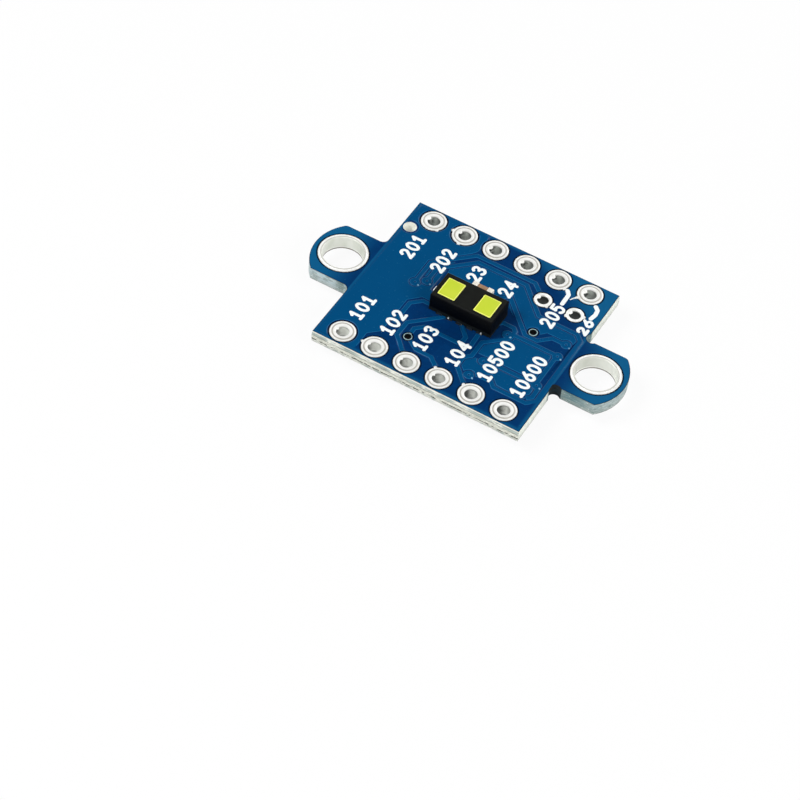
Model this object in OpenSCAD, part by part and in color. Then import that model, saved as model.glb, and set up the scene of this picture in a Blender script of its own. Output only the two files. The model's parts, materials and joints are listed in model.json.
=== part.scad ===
// Time-of-flight distance sensor on a small breakout board with two mounting ears.
// The origin is midway between the two ear holes, on the underside of the bare laminate.
// +X runs along the pin rows, +Y towards the far row and +Z out of the sensor's windows.

/* [Board] */
// Distance from the last pin hole of a row to the board's short side
end_margin = 1.78; // [1.7:0.02:2.4]
// Distance from a pin row to the board's long edge
edge_margin = 1.1; // [1.08:0.02:2]
// Thickness of the bare laminate
board_t = 1.0; // [0.8:0.1:1.6]
// Distance from an ear hole's middle to the end of its ear
ear_reach = 2.215; // [2.05:0.005:3]
// Width of each mounting ear
ear_w = 5; // [4.4:0.1:6]
// Radius of the arc that ends each ear
ear_end_r = 3.5; // [3.2:0.1:5]
// Radius of the rounding where that arc meets the ear's far side
ear_corner_r = 0.4; // [0.2:0.05:0.8]
// Radius of the routed inner corners beside the left ear
corner_r = 0.45; // [0.2:0.05:0.8]
// Radius of the router bit that relieved the inner corners beside the right ear
relief_r = 0.42; // [0.3:0.02:0.6]
// How far that relief cuts past each of the two edges that meet in the corner
relief_depth = 0.15; // [0.05:0.01:0.25]
// Depth of the score along each long edge, on both faces
score_depth = 0.3; // [0.1:0.05:0.35]
// How far the snapped web between the scores stands out
web_out = 0.1; // [0.05:0.01:0.25]

/* [Pin rows] */
// Distance between neighbouring pin holes
pin_spacing = 2.54; // [2.4:0.02:2.6]
// Distance between the two pin rows
row_spacing = 12.7; // [12.4:0.1:12.8]
// Finished bore of each pin hole
pin_hole_d = 0.95; // [0.8:0.01:1.1]
// Diameter of the land around each pin hole
pin_land_d = 1.86; // [1.6:0.02:1.9]

/* [Other holes] */
// Distance between the two ear holes
ear_hole_spacing = 20.27; // [20:0.01:20.5]
// Finished bore of each ear hole
ear_hole_d = 3; // [2.6:0.1:3.2]
// Diameter of the land around each ear hole
ear_land_d = 3.6; // [3.5:0.05:3.9]
// Finished bore of the two test holes
test_hole_d = 0.85; // [0.6:0.05:1]
// Diameter of the land around each test hole
test_land_d = 1.3; // [1.2:0.02:1.5]
// Distance from the far pin row to the test holes
test_row_offset = 2.32; // [2.1:0.02:2.6]
// Diameter of the bare tooling hole beside the left edge
tooling_hole_d = 1; // [0.8:0.05:1.2]
// Laminate left between the tooling hole and the left edge
tooling_wall = 0.13; // [0.1:0.01:0.3]
// Distance from the far pin row to the tooling hole
tooling_row_offset = 1.45; // [1.3:0.05:2.2]
// Finished bore of the open vias
via_hole_d = 0.4; // [0.3:0.02:0.44]
// Diameter of the land around each via
via_land_d = 0.62; // [0.58:0.02:0.7]
// Finished bore of the vias that lie under the mask
tented_hole_d = 0.3; // [0.2:0.02:0.36]
// Thickness of the plating in every plated hole
plating_t = 0.06; // [0.03:0.01:0.07]

/* [Layers] */
// Thickness of the copper foil
copper_t = 0.05; // [0.03:0.01:0.08]
// Thickness of the solder mask
mask_t = 0.03; // [0.02:0.01:0.05]
// Bare ring that the mask leaves around a land or pad
mask_gap = 0.06; // [0.03:0.01:0.08]
// Height of the tin crown above a plated land
solder_rise = 0.03; // [0.02:0.01:0.1]
// Width of the copper tracks
track_w = 0.2; // [0.12:0.01:0.25]
// Gap between a filled copper area and anything else
pour_gap = 0.22; // [0.15:0.01:0.26]
// Gap between copper and the edge of the board
edge_gap = 0.3; // [0.2:0.02:0.4]
// Thickness of the printed legend
legend_t = 0.02; // [0.01:0.01:0.05]

/* [Sensor] */
// Length of the sensor package
sensor_l = 4.9; // [4.6:0.1:5.4]
// Width of the sensor package
sensor_w = 2.5; // [2.3:0.1:2.6]
// Height of the sensor package
sensor_h = 1.56; // [1.4:0.02:2]
// Thickness of its substrate
substrate_t = 0.3; // [0.2:0.05:0.4]
// Length of each window, along the package
window_l = 1.34; // [1.1:0.02:1.5]
// Width of each window, across the package
window_w = 1.72; // [1.4:0.02:1.8]
// Thickness of each window
window_t = 0.25; // [0.15:0.05:0.35]
// Distance between the middles of the two windows
window_spacing = 2.84; // [2.6:0.02:2.9]
// Distance of the windows from the package's middle, towards the near row
window_shift = 0.06; // [0:0.01:0.12]
// Width of the ledge that each window rests on
window_ledge = 0.12; // [0.08:0.01:0.16]
// Clearance around each window
window_fit = 0.02; // [0.01:0.005:0.04]
// Width of the chamfer around the package's top
sensor_chamfer = 0.1; // [0.04:0.01:0.14]
// Solder between the package and its pads
joint_t = 0.06; // [0.04:0.01:0.12]

/* [Chip parts] */
// Length of a chip capacitor or resistor
chip_l = 1.6; // [1.5:0.05:1.7]
// Width of a chip capacitor or resistor
chip_w = 0.8; // [0.7:0.02:0.9]
// Height of a chip capacitor
capacitor_h = 0.8; // [0.6:0.05:0.9]
// Height of a chip resistor
resistor_h = 0.45; // [0.35:0.05:0.6]
// Length of each metal end cap
cap_end_l = 0.42; // [0.25:0.01:0.5]
// Thickness of the metal of an end cap
cap_end_t = 0.04; // [0.02:0.01:0.06]
// Gap between the sensor package and its capacitor
sensor_capacitor_gap = 0.2; // [0.15:0.05:0.4]
// Length of the solder fillet at each end of a chip part
fillet_l = 0.3; // [0.2:0.02:0.4]
// Solder between a chip part or a lead and its pad
pad_solder_t = 0.03; // [0.02:0.01:0.05]

/* [Controller] */
// Length of the controller's moulded body
controller_l = 6.5; // [6.3:0.1:6.7]
// Width of the controller's moulded body
controller_w = 4.4; // [4.2:0.1:4.6]
// Span over the tips of the controller's leads
controller_span = 6.4; // [6.2:0.1:6.6]
// Thickness of the controller's moulded body
controller_h = 0.95; // [0.85:0.05:1.05]
// Distance between neighbouring controller leads
controller_lead_spacing = 0.65; // [0.6:0.01:0.66]
// Width of one controller lead
controller_lead_w = 0.24; // [0.2:0.01:0.28]
// Distance of the controller from the board's middle, towards the left ear
controller_shift = 0.6; // [0.4:0.1:0.8]

/* [Regulator] */
// Length of the regulator's moulded body
regulator_l = 2.9; // [2.7:0.1:3.1]
// Width of the regulator's moulded body
regulator_w = 1.3; // [1.2:0.05:1.4]
// Span over the tips of the regulator's leads
regulator_span = 2.4; // [2.3:0.05:2.5]
// Thickness of the regulator's moulded body
regulator_h = 0.9; // [0.8:0.05:0.95]
// Distance between the two leads on its paired side
regulator_lead_spacing = 1.9; // [1.8:0.05:2]
// Width of one regulator lead
regulator_lead_w = 0.4; // [0.3:0.02:0.5]

/* [Leads] */
// Thickness of the sheet that the leads are cut from
lead_t = 0.13; // [0.08:0.01:0.16]
// Length of the flat foot of a controller lead
controller_foot_l = 0.5; // [0.4:0.05:0.55]
// Length of the flat foot of a regulator lead
regulator_foot_l = 0.3; // [0.25:0.05:0.35]
// Gap between a moulded body and the pads under it
standoff = 0.1; // [0.06:0.01:0.15]

/* [Hidden] */
$fn = 48;

// Cuts reach this far past a face
over = 0.5;
land_z = board_t + copper_t;
// The mask stops this far inside the board's edges
mask_inset = 0.04;
// Underlap that lets two shapes join instead of only touching
lap = 0.01;

// Main sizes of the board
pins_per_row = 6;
body_l = (pins_per_row - 1) * pin_spacing + 2 * end_margin;
body_w = row_spacing + 2 * edge_margin;
overall_l = ear_hole_spacing + 2 * ear_reach;
ear_end_x = overall_l / 2 - ear_end_r;

// A place on the board, given in millimetres for the usual spacing of 2.54 between pin holes
k = pin_spacing / 2.54;
function at(x, y) = [x, y] * k;

// Places of the holes
row_y = row_spacing / 2;
function pin_x(i) = (i - (pins_per_row + 1) / 2) * pin_spacing;
function near_pin(i) = [pin_x(i), -row_y];
function far_pin(i) = [pin_x(i), row_y];
function test_place(i) = [pin_x(pins_per_row - 2 + i), row_y - test_row_offset];
function ear_place(s) = [s * ear_hole_spacing / 2, 0];
tooling_place = [-body_l / 2 + tooling_wall + tooling_hole_d / 2, row_y - tooling_row_offset];
open_vias = [at(-2.37, -4.25), at(4.68, 0.95)];
tented_vias = [
    at(-4.52, 0.46), at(-3.86, 1), at(3.28, -0.24), at(7.14, 1.19), at(7.14, -0.08),
    at(7.18, -3.2), at(2.84, -4.94), at(3.1, -3.3)
];

// Plated holes, each as its place, bore and land
open_holes = concat(
    [for (i = [1 : pins_per_row]) [near_pin(i), pin_hole_d, pin_land_d]],
    [for (i = [1 : pins_per_row]) [far_pin(i), pin_hole_d, pin_land_d]],
    [for (s = [-1, 1]) [ear_place(s), ear_hole_d, ear_land_d]],
    [for (i = [1, 2]) [test_place(i), test_hole_d, test_land_d]],
    [for (p = open_vias) [p, via_hole_d, via_land_d]]
);
tented_holes = [for (p = tented_vias) [p, tented_hole_d, via_land_d]];
plated_holes = concat(open_holes, tented_holes);

// Directions in which a tinned track leaves a land inside the mask's opening
near_exits = [[], [180], [], [133], [152], []];
far_exits = [[-47], [180, 270], [], [], [-36], [231]];
test_exits = [[-40], [12, 219]];
exit_r = 0.12;
function exits_of(c, d, angles) = [for (a = angles) c + d / 2 * [cos(a), sin(a)]];
exit_places = concat(
    [for (i = [1 : pins_per_row]) each exits_of(near_pin(i), pin_land_d, near_exits[i - 1])],
    [for (i = [1 : pins_per_row]) each exits_of(far_pin(i), pin_land_d, far_exits[i - 1])],
    [for (i = [1, 2]) each exits_of(test_place(i), test_land_d, test_exits[i - 1])]
);

// Places of the parts
sensor_z = land_z + joint_t;
sensor_capacitor_place = [0, sensor_w / 2 + sensor_capacitor_gap + chip_w / 2];
controller_place = [-controller_shift, 0];
regulator_place = at(-6.1, 1.5);
capacitor_places = [at(-6.1, -1.35), at(-6.1, -3.05), at(-4, 4.3)];
resistor_places = [for (y = [2.4, -1, -2.4, -3.8]) at(5.3, y)];

// Contact pads of the sensor: two rows of five and one at each short end
sensor_pads_per_row = 5;
sensor_pad_spacing = 0.8;
sensor_pad = [0.4, 0.5];
sensor_end_pad = [0.4, 0.4];
sensor_toe = 0.03;
sensor_pad_x = sensor_l / 2 - sensor_end_pad.x / 2 - 0.1;
sensor_pad_y = sensor_w / 2 + sensor_toe - sensor_pad.y / 2;
function sensor_place(i, s) =
    [(i - (sensor_pads_per_row + 1) / 2) * sensor_pad_spacing, s * sensor_pad_y];

// Pads of the chips and leads
toe = 0.2;
chip_pad = [cap_end_l + fillet_l, chip_w];
chip_pad_x = chip_l / 2 + fillet_l - chip_pad.x / 2;
controller_leads_per_side = 10;
controller_pad_l = controller_foot_l + toe;
controller_pad_y = controller_span / 2 + toe - controller_pad_l / 2;
regulator_pad_l = regulator_foot_l + toe;
regulator_pad_x = regulator_span / 2 + toe - regulator_pad_l / 2;
function chip_pads(c) = [for (s = [-1, 1]) [c + [s * chip_pad_x, 0], chip_pad]];
function lead_x(i) =
    controller_place.x + (i - (controller_leads_per_side + 1) / 2) * controller_lead_spacing;
// The regulator's leads: two on its left side and one on its right
regulator_leads_at = [[-1, -1], [-1, 1], [1, 0]];
function regulator_pad_place(p) =
    regulator_place + [p.x * regulator_pad_x, p.y * regulator_lead_spacing / 2];
top_pads = concat(
    [for (i = [1 : sensor_pads_per_row], s = [-1, 1]) [sensor_place(i, s), sensor_pad]],
    [for (s = [-1, 1]) [[s * sensor_pad_x, 0], sensor_end_pad]],
    chip_pads(sensor_capacitor_place)
);
bottom_pads = concat(
    [for (i = [1 : controller_leads_per_side], s = [-1, 1])
        [[lead_x(i), s * controller_pad_y], [controller_lead_w, controller_pad_l]]],
    [for (p = regulator_leads_at) [regulator_pad_place(p), [regulator_pad_l, regulator_lead_w]]],
    [for (c = concat(capacitor_places, resistor_places)) each chip_pads(c)]
);

// Areas that the filled copper keeps out of, each as its middle and its size
chip_area = [2 * chip_pad_x + chip_pad.x, chip_w];
top_areas = [[[0, 0], [sensor_l, sensor_w]], [sensor_capacitor_place, chip_area]];
bottom_areas = concat(
    [for (s = [-1, 1]) [[controller_place.x, s * controller_pad_y],
        [controller_leads_per_side * controller_lead_spacing, controller_pad_l]]],
    [for (p = regulator_leads_at) [regulator_pad_place(p), [regulator_pad_l, regulator_lead_w]]],
    [for (c = concat(capacitor_places, resistor_places)) [c, chip_area]]
);

// Routes of the tracks on the sensor side
route_x = body_l / 2 - edge_gap;
top_routes = [
    [near_pin(3), at(-3.08, -4.54), at(-3.08, -3.15), at(-1.3, -1.4), sensor_place(2, -1)],
    [near_pin(4), at(0.5, -5.5), at(-0.1, -4.99), at(-1.3, -4.99), open_vias[0]],
    [open_vias[0], at(-2.37, -3.35), at(-1.85, -2.83), at(0.75, -2.83), at(1, -2.55), at(1, -2.1),
        sensor_place(3, -1)],
    [near_pin(5), at(3.3, -6.2), at(1.75, -4.65), at(1.75, -3.75), at(2.17, -3.33), at(2.17, -1.87),
        at(3.62, -0.45), at(3.62, 0.3), at(3.37, 0.55), at(2.45, 0.55), [sensor_pad_x, 0]],
    [at(3.62, -0.02), at(6.75, -0.02), tented_vias[4]],
    [tented_vias[4], at(7.08, -0.45), at(7.08, -2.85), tented_vias[5]],
    [tented_vias[5], at(7.42, -3.5), at(7.42, -4.3), at(7.17, -4.57)],
    [sensor_capacitor_place + [chip_l / 2 - 0.2, 0], at(1.74, 2.99), at(4.32, 0.41), at(5.28, 0.41),
        at(5.82, 0.95), at(6.06, 1.19), tented_vias[3]],
    [tented_vias[1], at(-3.86, 2.45), at(-1.7, 4.61), at(2.2, 4.61), at(4.3, 2.5),
        [route_x, 2.5 * k] - at(0.48, 0), [route_x, 2.02 * k], [route_x, -4.45 * k],
        [route_x, -4.45 * k] - at(0.55, 0.55), at(4.8, -5), at(4.1, -4.3)],
    [tented_vias[0], at(-4.52, 2.7), at(-2.1, 5.12), at(2.6, 5.12), test_place(1)],
    [[-sensor_pad_x, 0], at(-2.45, -0.79), at(-3.15, -0.79), at(-3.83, -1.47), at(-3.83, -3.6)],
    [tented_vias[7], at(3.25, -3.15), at(7, -3.15)],
    [sensor_place(5, -1), at(1.66, -2.6)],
    [far_pin(6), at(5.5, 5.35)]
];

// Short bridges between the second pin of each row and the filled area around it
bridge_l = pin_land_d / 2 + pour_gap + 0.15;
top_bridges = [
    [far_pin(2), far_pin(2) - [bridge_l, 0]],
    [far_pin(2), far_pin(2) - [0, bridge_l]],
    [near_pin(2), near_pin(2) - [bridge_l, 0]]
];

// Filled copper areas on the sensor side, drawn anticlockwise
fill_x = body_l / 2 - edge_gap;
fill_y = body_w / 2 - edge_gap;
top_fills = [
    [[-fill_x, -fill_y], [-4.95 * k, -fill_y], at(-4.95, -5.55), at(-4.2, -4.8), at(-4.2, -1.3),
        at(-3.4, -0.45), at(-2.8, -0.45), at(-2.8, 0.2), at(-3.3, 0.4), at(-3.3, 2.4), at(-3.1, 4.3),
        at(-2.3, 5.5), [-2.3 * k, fill_y], [-fill_x, fill_y]],
    [at(-3, 2.6), at(1.5, 2.6), at(4.3, 0.35), at(5, 0.9), at(5.5, 1.5), at(7.55, 1.5), at(7.55, 2.1),
        at(7.3, 2.4), at(4.3, 2.4), at(2.2, 4.5), at(-1.7, 4.5), at(-3, 3.2)],
    [at(2.3, -2.8), at(6.75, -2.8), at(6.75, -0.1), at(3.6, -0.1), at(2.3, -1.8)],
    [at(2, -4.4), at(2.4, -4.75), at(6.95, -4.75), at(7.15, -4.5), at(7.15, -3.4), at(2.4, -3.4),
        at(2, -3.9)]
];

// Tracks on the underside fan out from the controller's leads to the pins
fan_y = controller_span / 2 + toe;
function fan(pin, i, s) = [
    pin,
    [pin.x, s * (row_y - pin_spacing / 2)],
    [lead_x(i), s * (fan_y + 0.15)],
    [lead_x(i), s * (fan_y - 0.2)]
];
bottom_routes = concat(
    [for (i = [2 : 5]) fan(near_pin(i), 2 * i - 2, -1)],
    [for (i = [3 : 5]) fan(far_pin(i), 2 * i - 1, 1)],
    [
        [near_pin(1), near_pin(1) + [0, pin_spacing / 2], capacitor_places[1] + [-chip_pad_x, 0]],
        [capacitor_places[1] + [-chip_pad_x, 0], capacitor_places[0] + [-chip_pad_x, 0]],
        [capacitor_places[0] + [chip_pad_x, 0], regulator_pad_place(regulator_leads_at[2])]
    ],
    [for (c = resistor_places) [c + [chip_pad_x, 0], c + [chip_pad_x + 1, 0]]]
);
bottom_bridges = [
    for (p = [far_pin(2), near_pin(6)])
        each [[p - [bridge_l, 0], p + [bridge_l, 0]], [p, p - [0, bridge_l * sign(p.y)]]]
];
bottom_fills = [[[-fill_x, -fill_y], [fill_x, -fill_y], [fill_x, fill_y], [-fill_x, fill_y]]];

// Printed leader lines beside the last two far pins, and a tick beside the sensor
leader_w = 0.27;
leaders = [
    [far_pin(5) + at(1.02, -0.56), far_pin(5) + at(1.28, -0.88), far_pin(5) + at(1.3, -1.9)],
    [far_pin(6) + at(0.86, -0.8), far_pin(6) + at(1.14, -1.05), far_pin(6) + at(1.2, -1.5),
        far_pin(6) + at(1.15, -2.65)]
];
tick = [0.09, 0.5];
tick_place = at(-3.03, 0.71);

// Vector helpers for strips and grown outlines
function unit(v) = v / norm(v);
function left_of(v) = [-v.y, v.x];
function miter(a, b) = (a + b) / (1 + a * b);

// Direction across the open path p at its point i, lengthened for the turn there
function side_at(p, i) =
    let (last = len(p) - 1)
    miter(
        left_of(unit(p[min(i + 1, last)] - p[min(i, last - 1)])),
        left_of(unit(p[max(i, 1)] - p[max(i - 1, 0)]))
    );

// Outline of a strip of width w along the open path p
function strip(p, w) = concat(
    [for (i = [0 : len(p) - 1]) p[i] + side_at(p, i) * w / 2],
    [for (i = [len(p) - 1 : -1 : 0]) p[i] - side_at(p, i) * w / 2]
);

// The open path p, with both ends lengthened by d
function stretched(p, d) =
    let (last = len(p) - 1)
    concat(
        [p[0] + unit(p[0] - p[1]) * d],
        [for (i = [1 : 1 : last - 1]) p[i]],
        [p[last] + unit(p[last] - p[last - 1]) * d]
    );

// The closed anticlockwise outline p, moved outwards by d
function grown(p, d) = [
    for (i = [0 : len(p) - 1])
        let (
            a = left_of(unit(p[(i + 1) % len(p)] - p[i])),
            b = left_of(unit(p[i] - p[(i + len(p) - 1) % len(p)]))
        )
        p[i] - miter(a, b) * d
];

// Round holes where the router bit relieved the inner corners beside the right ear
module reliefs(inset = 0) {
    reach = relief_r - relief_depth;
    for (s = [-1, 1])
        translate([body_l / 2 + reach, s * (ear_w / 2 + reach)])
            circle(r = relief_r + inset);
}

// Rounded filling of the inner corner at the left ear's far side
module inner_corner(inset) {
    translate([-body_l / 2 - corner_r, ear_w / 2 + corner_r])
        difference() {
            translate([0, -corner_r - over])
                square(corner_r + over);
            circle(r = corner_r + inset);
        }
}

// What the rounding takes off the far corner of the right ear
module ear_corner(inset) {
    c = [
        ear_end_x + sqrt(pow(ear_end_r - ear_corner_r, 2) - pow(ear_w / 2 - ear_corner_r, 2)),
        ear_w / 2 - ear_corner_r
    ];
    u = unit(c - [ear_end_x, 0]);
    difference() {
        polygon([c, c + u, c + u + [0, 1], c + [0, 1]]);
        translate(c)
            circle(r = ear_corner_r - inset);
    }
}

// Both ears as one strip across the board
module ear_strip(inset) {
    difference() {
        intersection() {
            square([overall_l - 2 * inset, ear_w - 2 * inset], center = true);
            union() {
                square([2 * ear_end_x, 2 * ear_end_r], center = true);
                for (s = [-1, 1])
                    translate([s * ear_end_x, 0])
                        circle(r = ear_end_r - inset, $fn = 96);
            }
        }
        ear_corner(inset);
        mirror([1, 0])
            ear_corner(inset);
    }
}

// Flat outline of the board, drawn in by inset
module outline(inset = 0) {
    difference() {
        union() {
            square([body_l - 2 * inset, body_w - 2 * inset], center = true);
            ear_strip(inset);
            inner_corner(inset);
            mirror([0, 1])
                inner_corner(inset);
        }
        reliefs(inset);
    }
}

// A disc on each hole of a list, on its bore or on its land, grown by d
module bores(holes, d = 0) {
    for (h = holes)
        translate(h[0])
            circle(d = h[1] + 2 * d);
}
module lands(holes, d = 0) {
    for (h = holes)
        translate(h[0])
            circle(d = h[2] + 2 * d);
}
module exits(d = 0) {
    for (p = exit_places)
        translate(p)
            circle(r = exit_r + d);
}
module tooling_hole(d = 0) {
    translate(tooling_place)
        circle(d = tooling_hole_d + 2 * d);
}

// A rectangle on each pad or area of a list, grown by d
module rectangles(list, d = 0) {
    for (q = list)
        translate(q[0])
            square(q[1] + 2 * [d, d], center = true);
}

// A strip on each route of a list, grown by d
module tracks(list, d = 0) {
    for (p = list)
        polygon(strip(stretched(p, d), track_w + 2 * d));
}

// The board's laminate, with scored long edges, routed corners and every drilled hole
module board_laminate() {
    half_w = body_w / 2;
    web_w = half_w + web_out;
    color([0.74, 0.77, 0.66])
        difference() {
            union() {
                linear_extrude(board_t)
                    outline();
                rotate([90, 0, 90])
                    linear_extrude(body_l, center = true)
                        polygon([
                            [-half_w, 0], [half_w, 0],
                            [web_w, score_depth], [web_w, board_t - score_depth],
                            [half_w, board_t], [-half_w, board_t],
                            [-web_w, board_t - score_depth], [-web_w, score_depth]
                        ]);
            }
            translate([0, 0, -over])
                linear_extrude(board_t + 2 * over) {
                    reliefs();
                    bores(plated_holes, plating_t);
                    tooling_hole();
                }
        }
}

// Flat copper of one side, with every edge moved out by d
module copper_shape(routes, bridges, fills, pads, areas, d) {
    clear = pour_gap - d;
    tracks(routes, d);
    tracks(bridges, d);
    rectangles(pads, d);
    difference() {
        for (p = fills)
            polygon(grown(p, d));
        tracks(routes, clear);
        rectangles(areas, clear);
        lands(plated_holes, clear);
        tooling_hole(clear);
    }
}
module top_copper_shape(d = 0) {
    copper_shape(top_routes, top_bridges, top_fills, top_pads, top_areas, d);
}
module bottom_copper_shape(d = 0) {
    copper_shape(bottom_routes, bottom_bridges, bottom_fills, bottom_pads, bottom_areas, d);
}

// The foil of each side; the lands belong to the plated barrels
module top_copper() {
    color([0.8, 0.5, 0.3])
        translate([0, 0, board_t])
            linear_extrude(copper_t)
                difference() {
                    top_copper_shape();
                    lands(plated_holes);
                    exits();
                }
}
module bottom_copper() {
    color([0.8, 0.5, 0.3])
        translate([0, 0, -copper_t])
            linear_extrude(copper_t)
                difference() {
                    bottom_copper_shape();
                    lands(plated_holes);
                }
}

// Dished filling that the mask forms in each hole it covers
module mask_plugs() {
    plug_t = 0.06;
    dish_r = tented_hole_d / 2 * 0.8;
    dish_depth = mask_t + 0.01;
    ball_r = (pow(dish_r, 2) + pow(dish_depth, 2)) / (2 * dish_depth);
    for (h = tented_holes)
        translate([h[0].x, h[0].y, copper_t])
            difference() {
                translate([0, 0, -plug_t])
                    cylinder(d = h[1], h = plug_t + mask_t);
                translate([0, 0, mask_t - dish_depth + ball_r])
                    sphere(r = ball_r);
            }
}

// Solder mask over one side, with the laminate's face at height zero.
// First child: the copper grown by the mask's thickness; second: the copper; third: the openings.
module mask_layer() {
    color([0.01, 0.24, 0.5]) {
        difference() {
            union() {
                linear_extrude(mask_t)
                    outline(mask_inset);
                linear_extrude(copper_t + mask_t) {
                    children(0);
                    lands(tented_holes, mask_t);
                }
            }
            translate([0, 0, -over])
                linear_extrude(copper_t + over) {
                    children(1);
                    lands(plated_holes);
                }
            translate([0, 0, -over])
                linear_extrude(copper_t + mask_t + 2 * over) {
                    lands(open_holes, mask_gap);
                    bores(tented_holes);
                    tooling_hole();
                    children(2);
                }
        }
        mask_plugs();
    }
}
module top_solder_mask() {
    translate([0, 0, board_t])
        mask_layer() {
            top_copper_shape(mask_t);
            top_copper_shape();
            union() {
                exits(mask_gap);
                rectangles(top_pads, mask_gap);
            }
        }
}
module bottom_solder_mask() {
    mirror([0, 0, 1])
        mask_layer() {
            bottom_copper_shape(mask_t);
            bottom_copper_shape();
            rectangles(bottom_pads, mask_gap);
        }
}

// Printed lines on the sensor side
module top_legend() {
    color([0.95, 0.98, 0.98])
        translate([0, 0, board_t + mask_t])
            linear_extrude(legend_t) {
                for (p = leaders)
                    polygon(strip(p, leader_w));
                translate(tick_place)
                    square(tick, center = true);
            }
}

// Half section of a shallow bead of tin between radii a and b, h high
module bead(a, b, h) {
    w = b - a;
    r = (w * w / 4 + h * h) / (2 * h);
    intersection() {
        translate([(a + b) / 2, h - r])
            circle(r = r, $fn = 192);
        translate([a, -lap])
            square([w, h + 2 * lap]);
    }
}

// Half section of one land, with its foil and the tin on it
module land_section(r, land_r) {
    ring = land_r - r;
    rise = min(solder_rise, ring / 5);
    seam_r = land_r - ring / 3;
    translate([r, 0])
        square([ring, copper_t]);
    translate([0, copper_t]) {
        bead(r, seam_r, rise);
        bead(seam_r, land_r, rise * 0.4);
    }
}

// Plated barrel of one hole, with a tinned land on each side
module eyelet(place, hole_d, land_d, angles = []) {
    r = hole_d / 2;
    color([0.86, 0.86, 0.83])
        translate([place.x, place.y, 0]) {
            rotate_extrude() {
                translate([r, -lap])
                    square([plating_t, board_t + 2 * lap]);
                translate([0, board_t])
                    land_section(r, land_d / 2);
                mirror([0, 1])
                    land_section(r, land_d / 2);
            }
            for (p = exits_of([0, 0], land_d, angles))
                translate([p.x, p.y, board_t])
                    cylinder(r = exit_r, h = copper_t + solder_rise / 3);
        }
}
module barrel_near(i) {
    eyelet(near_pin(i), pin_hole_d, pin_land_d, near_exits[i - 1]);
}
module barrel_far(i) {
    eyelet(far_pin(i), pin_hole_d, pin_land_d, far_exits[i - 1]);
}
module barrel_test(i) {
    eyelet(test_place(i), test_hole_d, test_land_d, test_exits[i - 1]);
}
module barrel_left_ear() {
    eyelet(ear_place(-1), ear_hole_d, ear_land_d);
}
module barrel_right_ear() {
    eyelet(ear_place(1), ear_hole_d, ear_land_d);
}

// Plated barrels of vias, each with a flat land on both sides
module via_barrels(holes) {
    color([0.84, 0.82, 0.78])
        for (h = holes)
            translate([h[0].x, h[0].y, 0])
                difference() {
                    union() {
                        cylinder(d = h[1] + 2 * plating_t, h = board_t);
                        for (z = [-copper_t, board_t])
                            translate([0, 0, z])
                                cylinder(d = h[2], h = copper_t);
                    }
                    translate([0, 0, -over])
                        cylinder(d = h[1], h = board_t + 2 * over);
                }
}
module open_via_barrels() {
    via_barrels([for (p = open_vias) [p, via_hole_d, via_land_d]]);
}
module tented_via_barrels() {
    via_barrels(tented_holes);
}

// A block standing on height zero, bounded by a section along X and one along Y
module crossed(x_section, y_section, size) {
    intersection() {
        rotate([90, 0, 0])
            linear_extrude(size.y, center = true)
                polygon(x_section);
        rotate([90, 0, 90])
            linear_extrude(size.x, center = true)
                polygon(y_section);
    }
}

// Section w wide and h high with its two upper corners cut by c
function chamfered(w, h, c) = [
    [-w / 2, 0], [w / 2, 0], [w / 2, h - c], [w / 2 - c, h], [c - w / 2, h], [-w / 2, h - c]
];

// Section w wide and h high that narrows by the draft above and below a middle band
draft = 0.09;
function drafted(w, h) =
    let (a = (h - lead_t) / 2, b = (h + lead_t) / 2, n = w / 2 - draft)
    [[-n, 0], [n, 0], [w / 2, a], [w / 2, b], [n, h], [-n, h], [-w / 2, b], [-w / 2, a]];

// A box centred in X and Y that stands on height z
module block(size, z = 0) {
    translate([0, 0, z + size.z / 2])
        cube(size, center = true);
}

// Sensor package: substrate, cap over two chambers, two windows and two dies
cap_h = sensor_h - substrate_t;
function window_size(grow, h) = [window_l + 2 * grow, window_w + 2 * grow, h];
module sensor_substrate() {
    color([0.13, 0.2, 0.14])
        block([sensor_l, sensor_w, substrate_t], sensor_z);
}
module at_window(s) {
    translate([s * window_spacing / 2, -window_shift, sensor_z + substrate_t])
        children();
}
module sensor_cap() {
    color([0.05, 0.05, 0.05])
        difference() {
            translate([0, 0, sensor_z + substrate_t])
                crossed(
                    chamfered(sensor_l, cap_h, sensor_chamfer),
                    chamfered(sensor_w, cap_h, sensor_chamfer),
                    [sensor_l, sensor_w]
                );
            for (s = [-1, 1])
                at_window(s) {
                    block(window_size(window_fit, window_t + over), cap_h - window_t);
                    block(window_size(-window_ledge, cap_h + over), -over);
                }
        }
}
module sensor_window(s) {
    color([0.8, 0.82, 0.25])
        at_window(s)
            block(window_size(0, window_t), cap_h - window_t);
}
module emitter_window() {
    sensor_window(-1);
}
module receiver_window() {
    sensor_window(1);
}
module emitter_die() {
    color([0.4, 0.4, 0.42])
        at_window(-1)
            block([0.35, 0.35, 0.15]);
}
module receiver_die() {
    color([0.3, 0.32, 0.36])
        at_window(1)
            block([0.9, 1.1, 0.2]);
}

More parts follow.
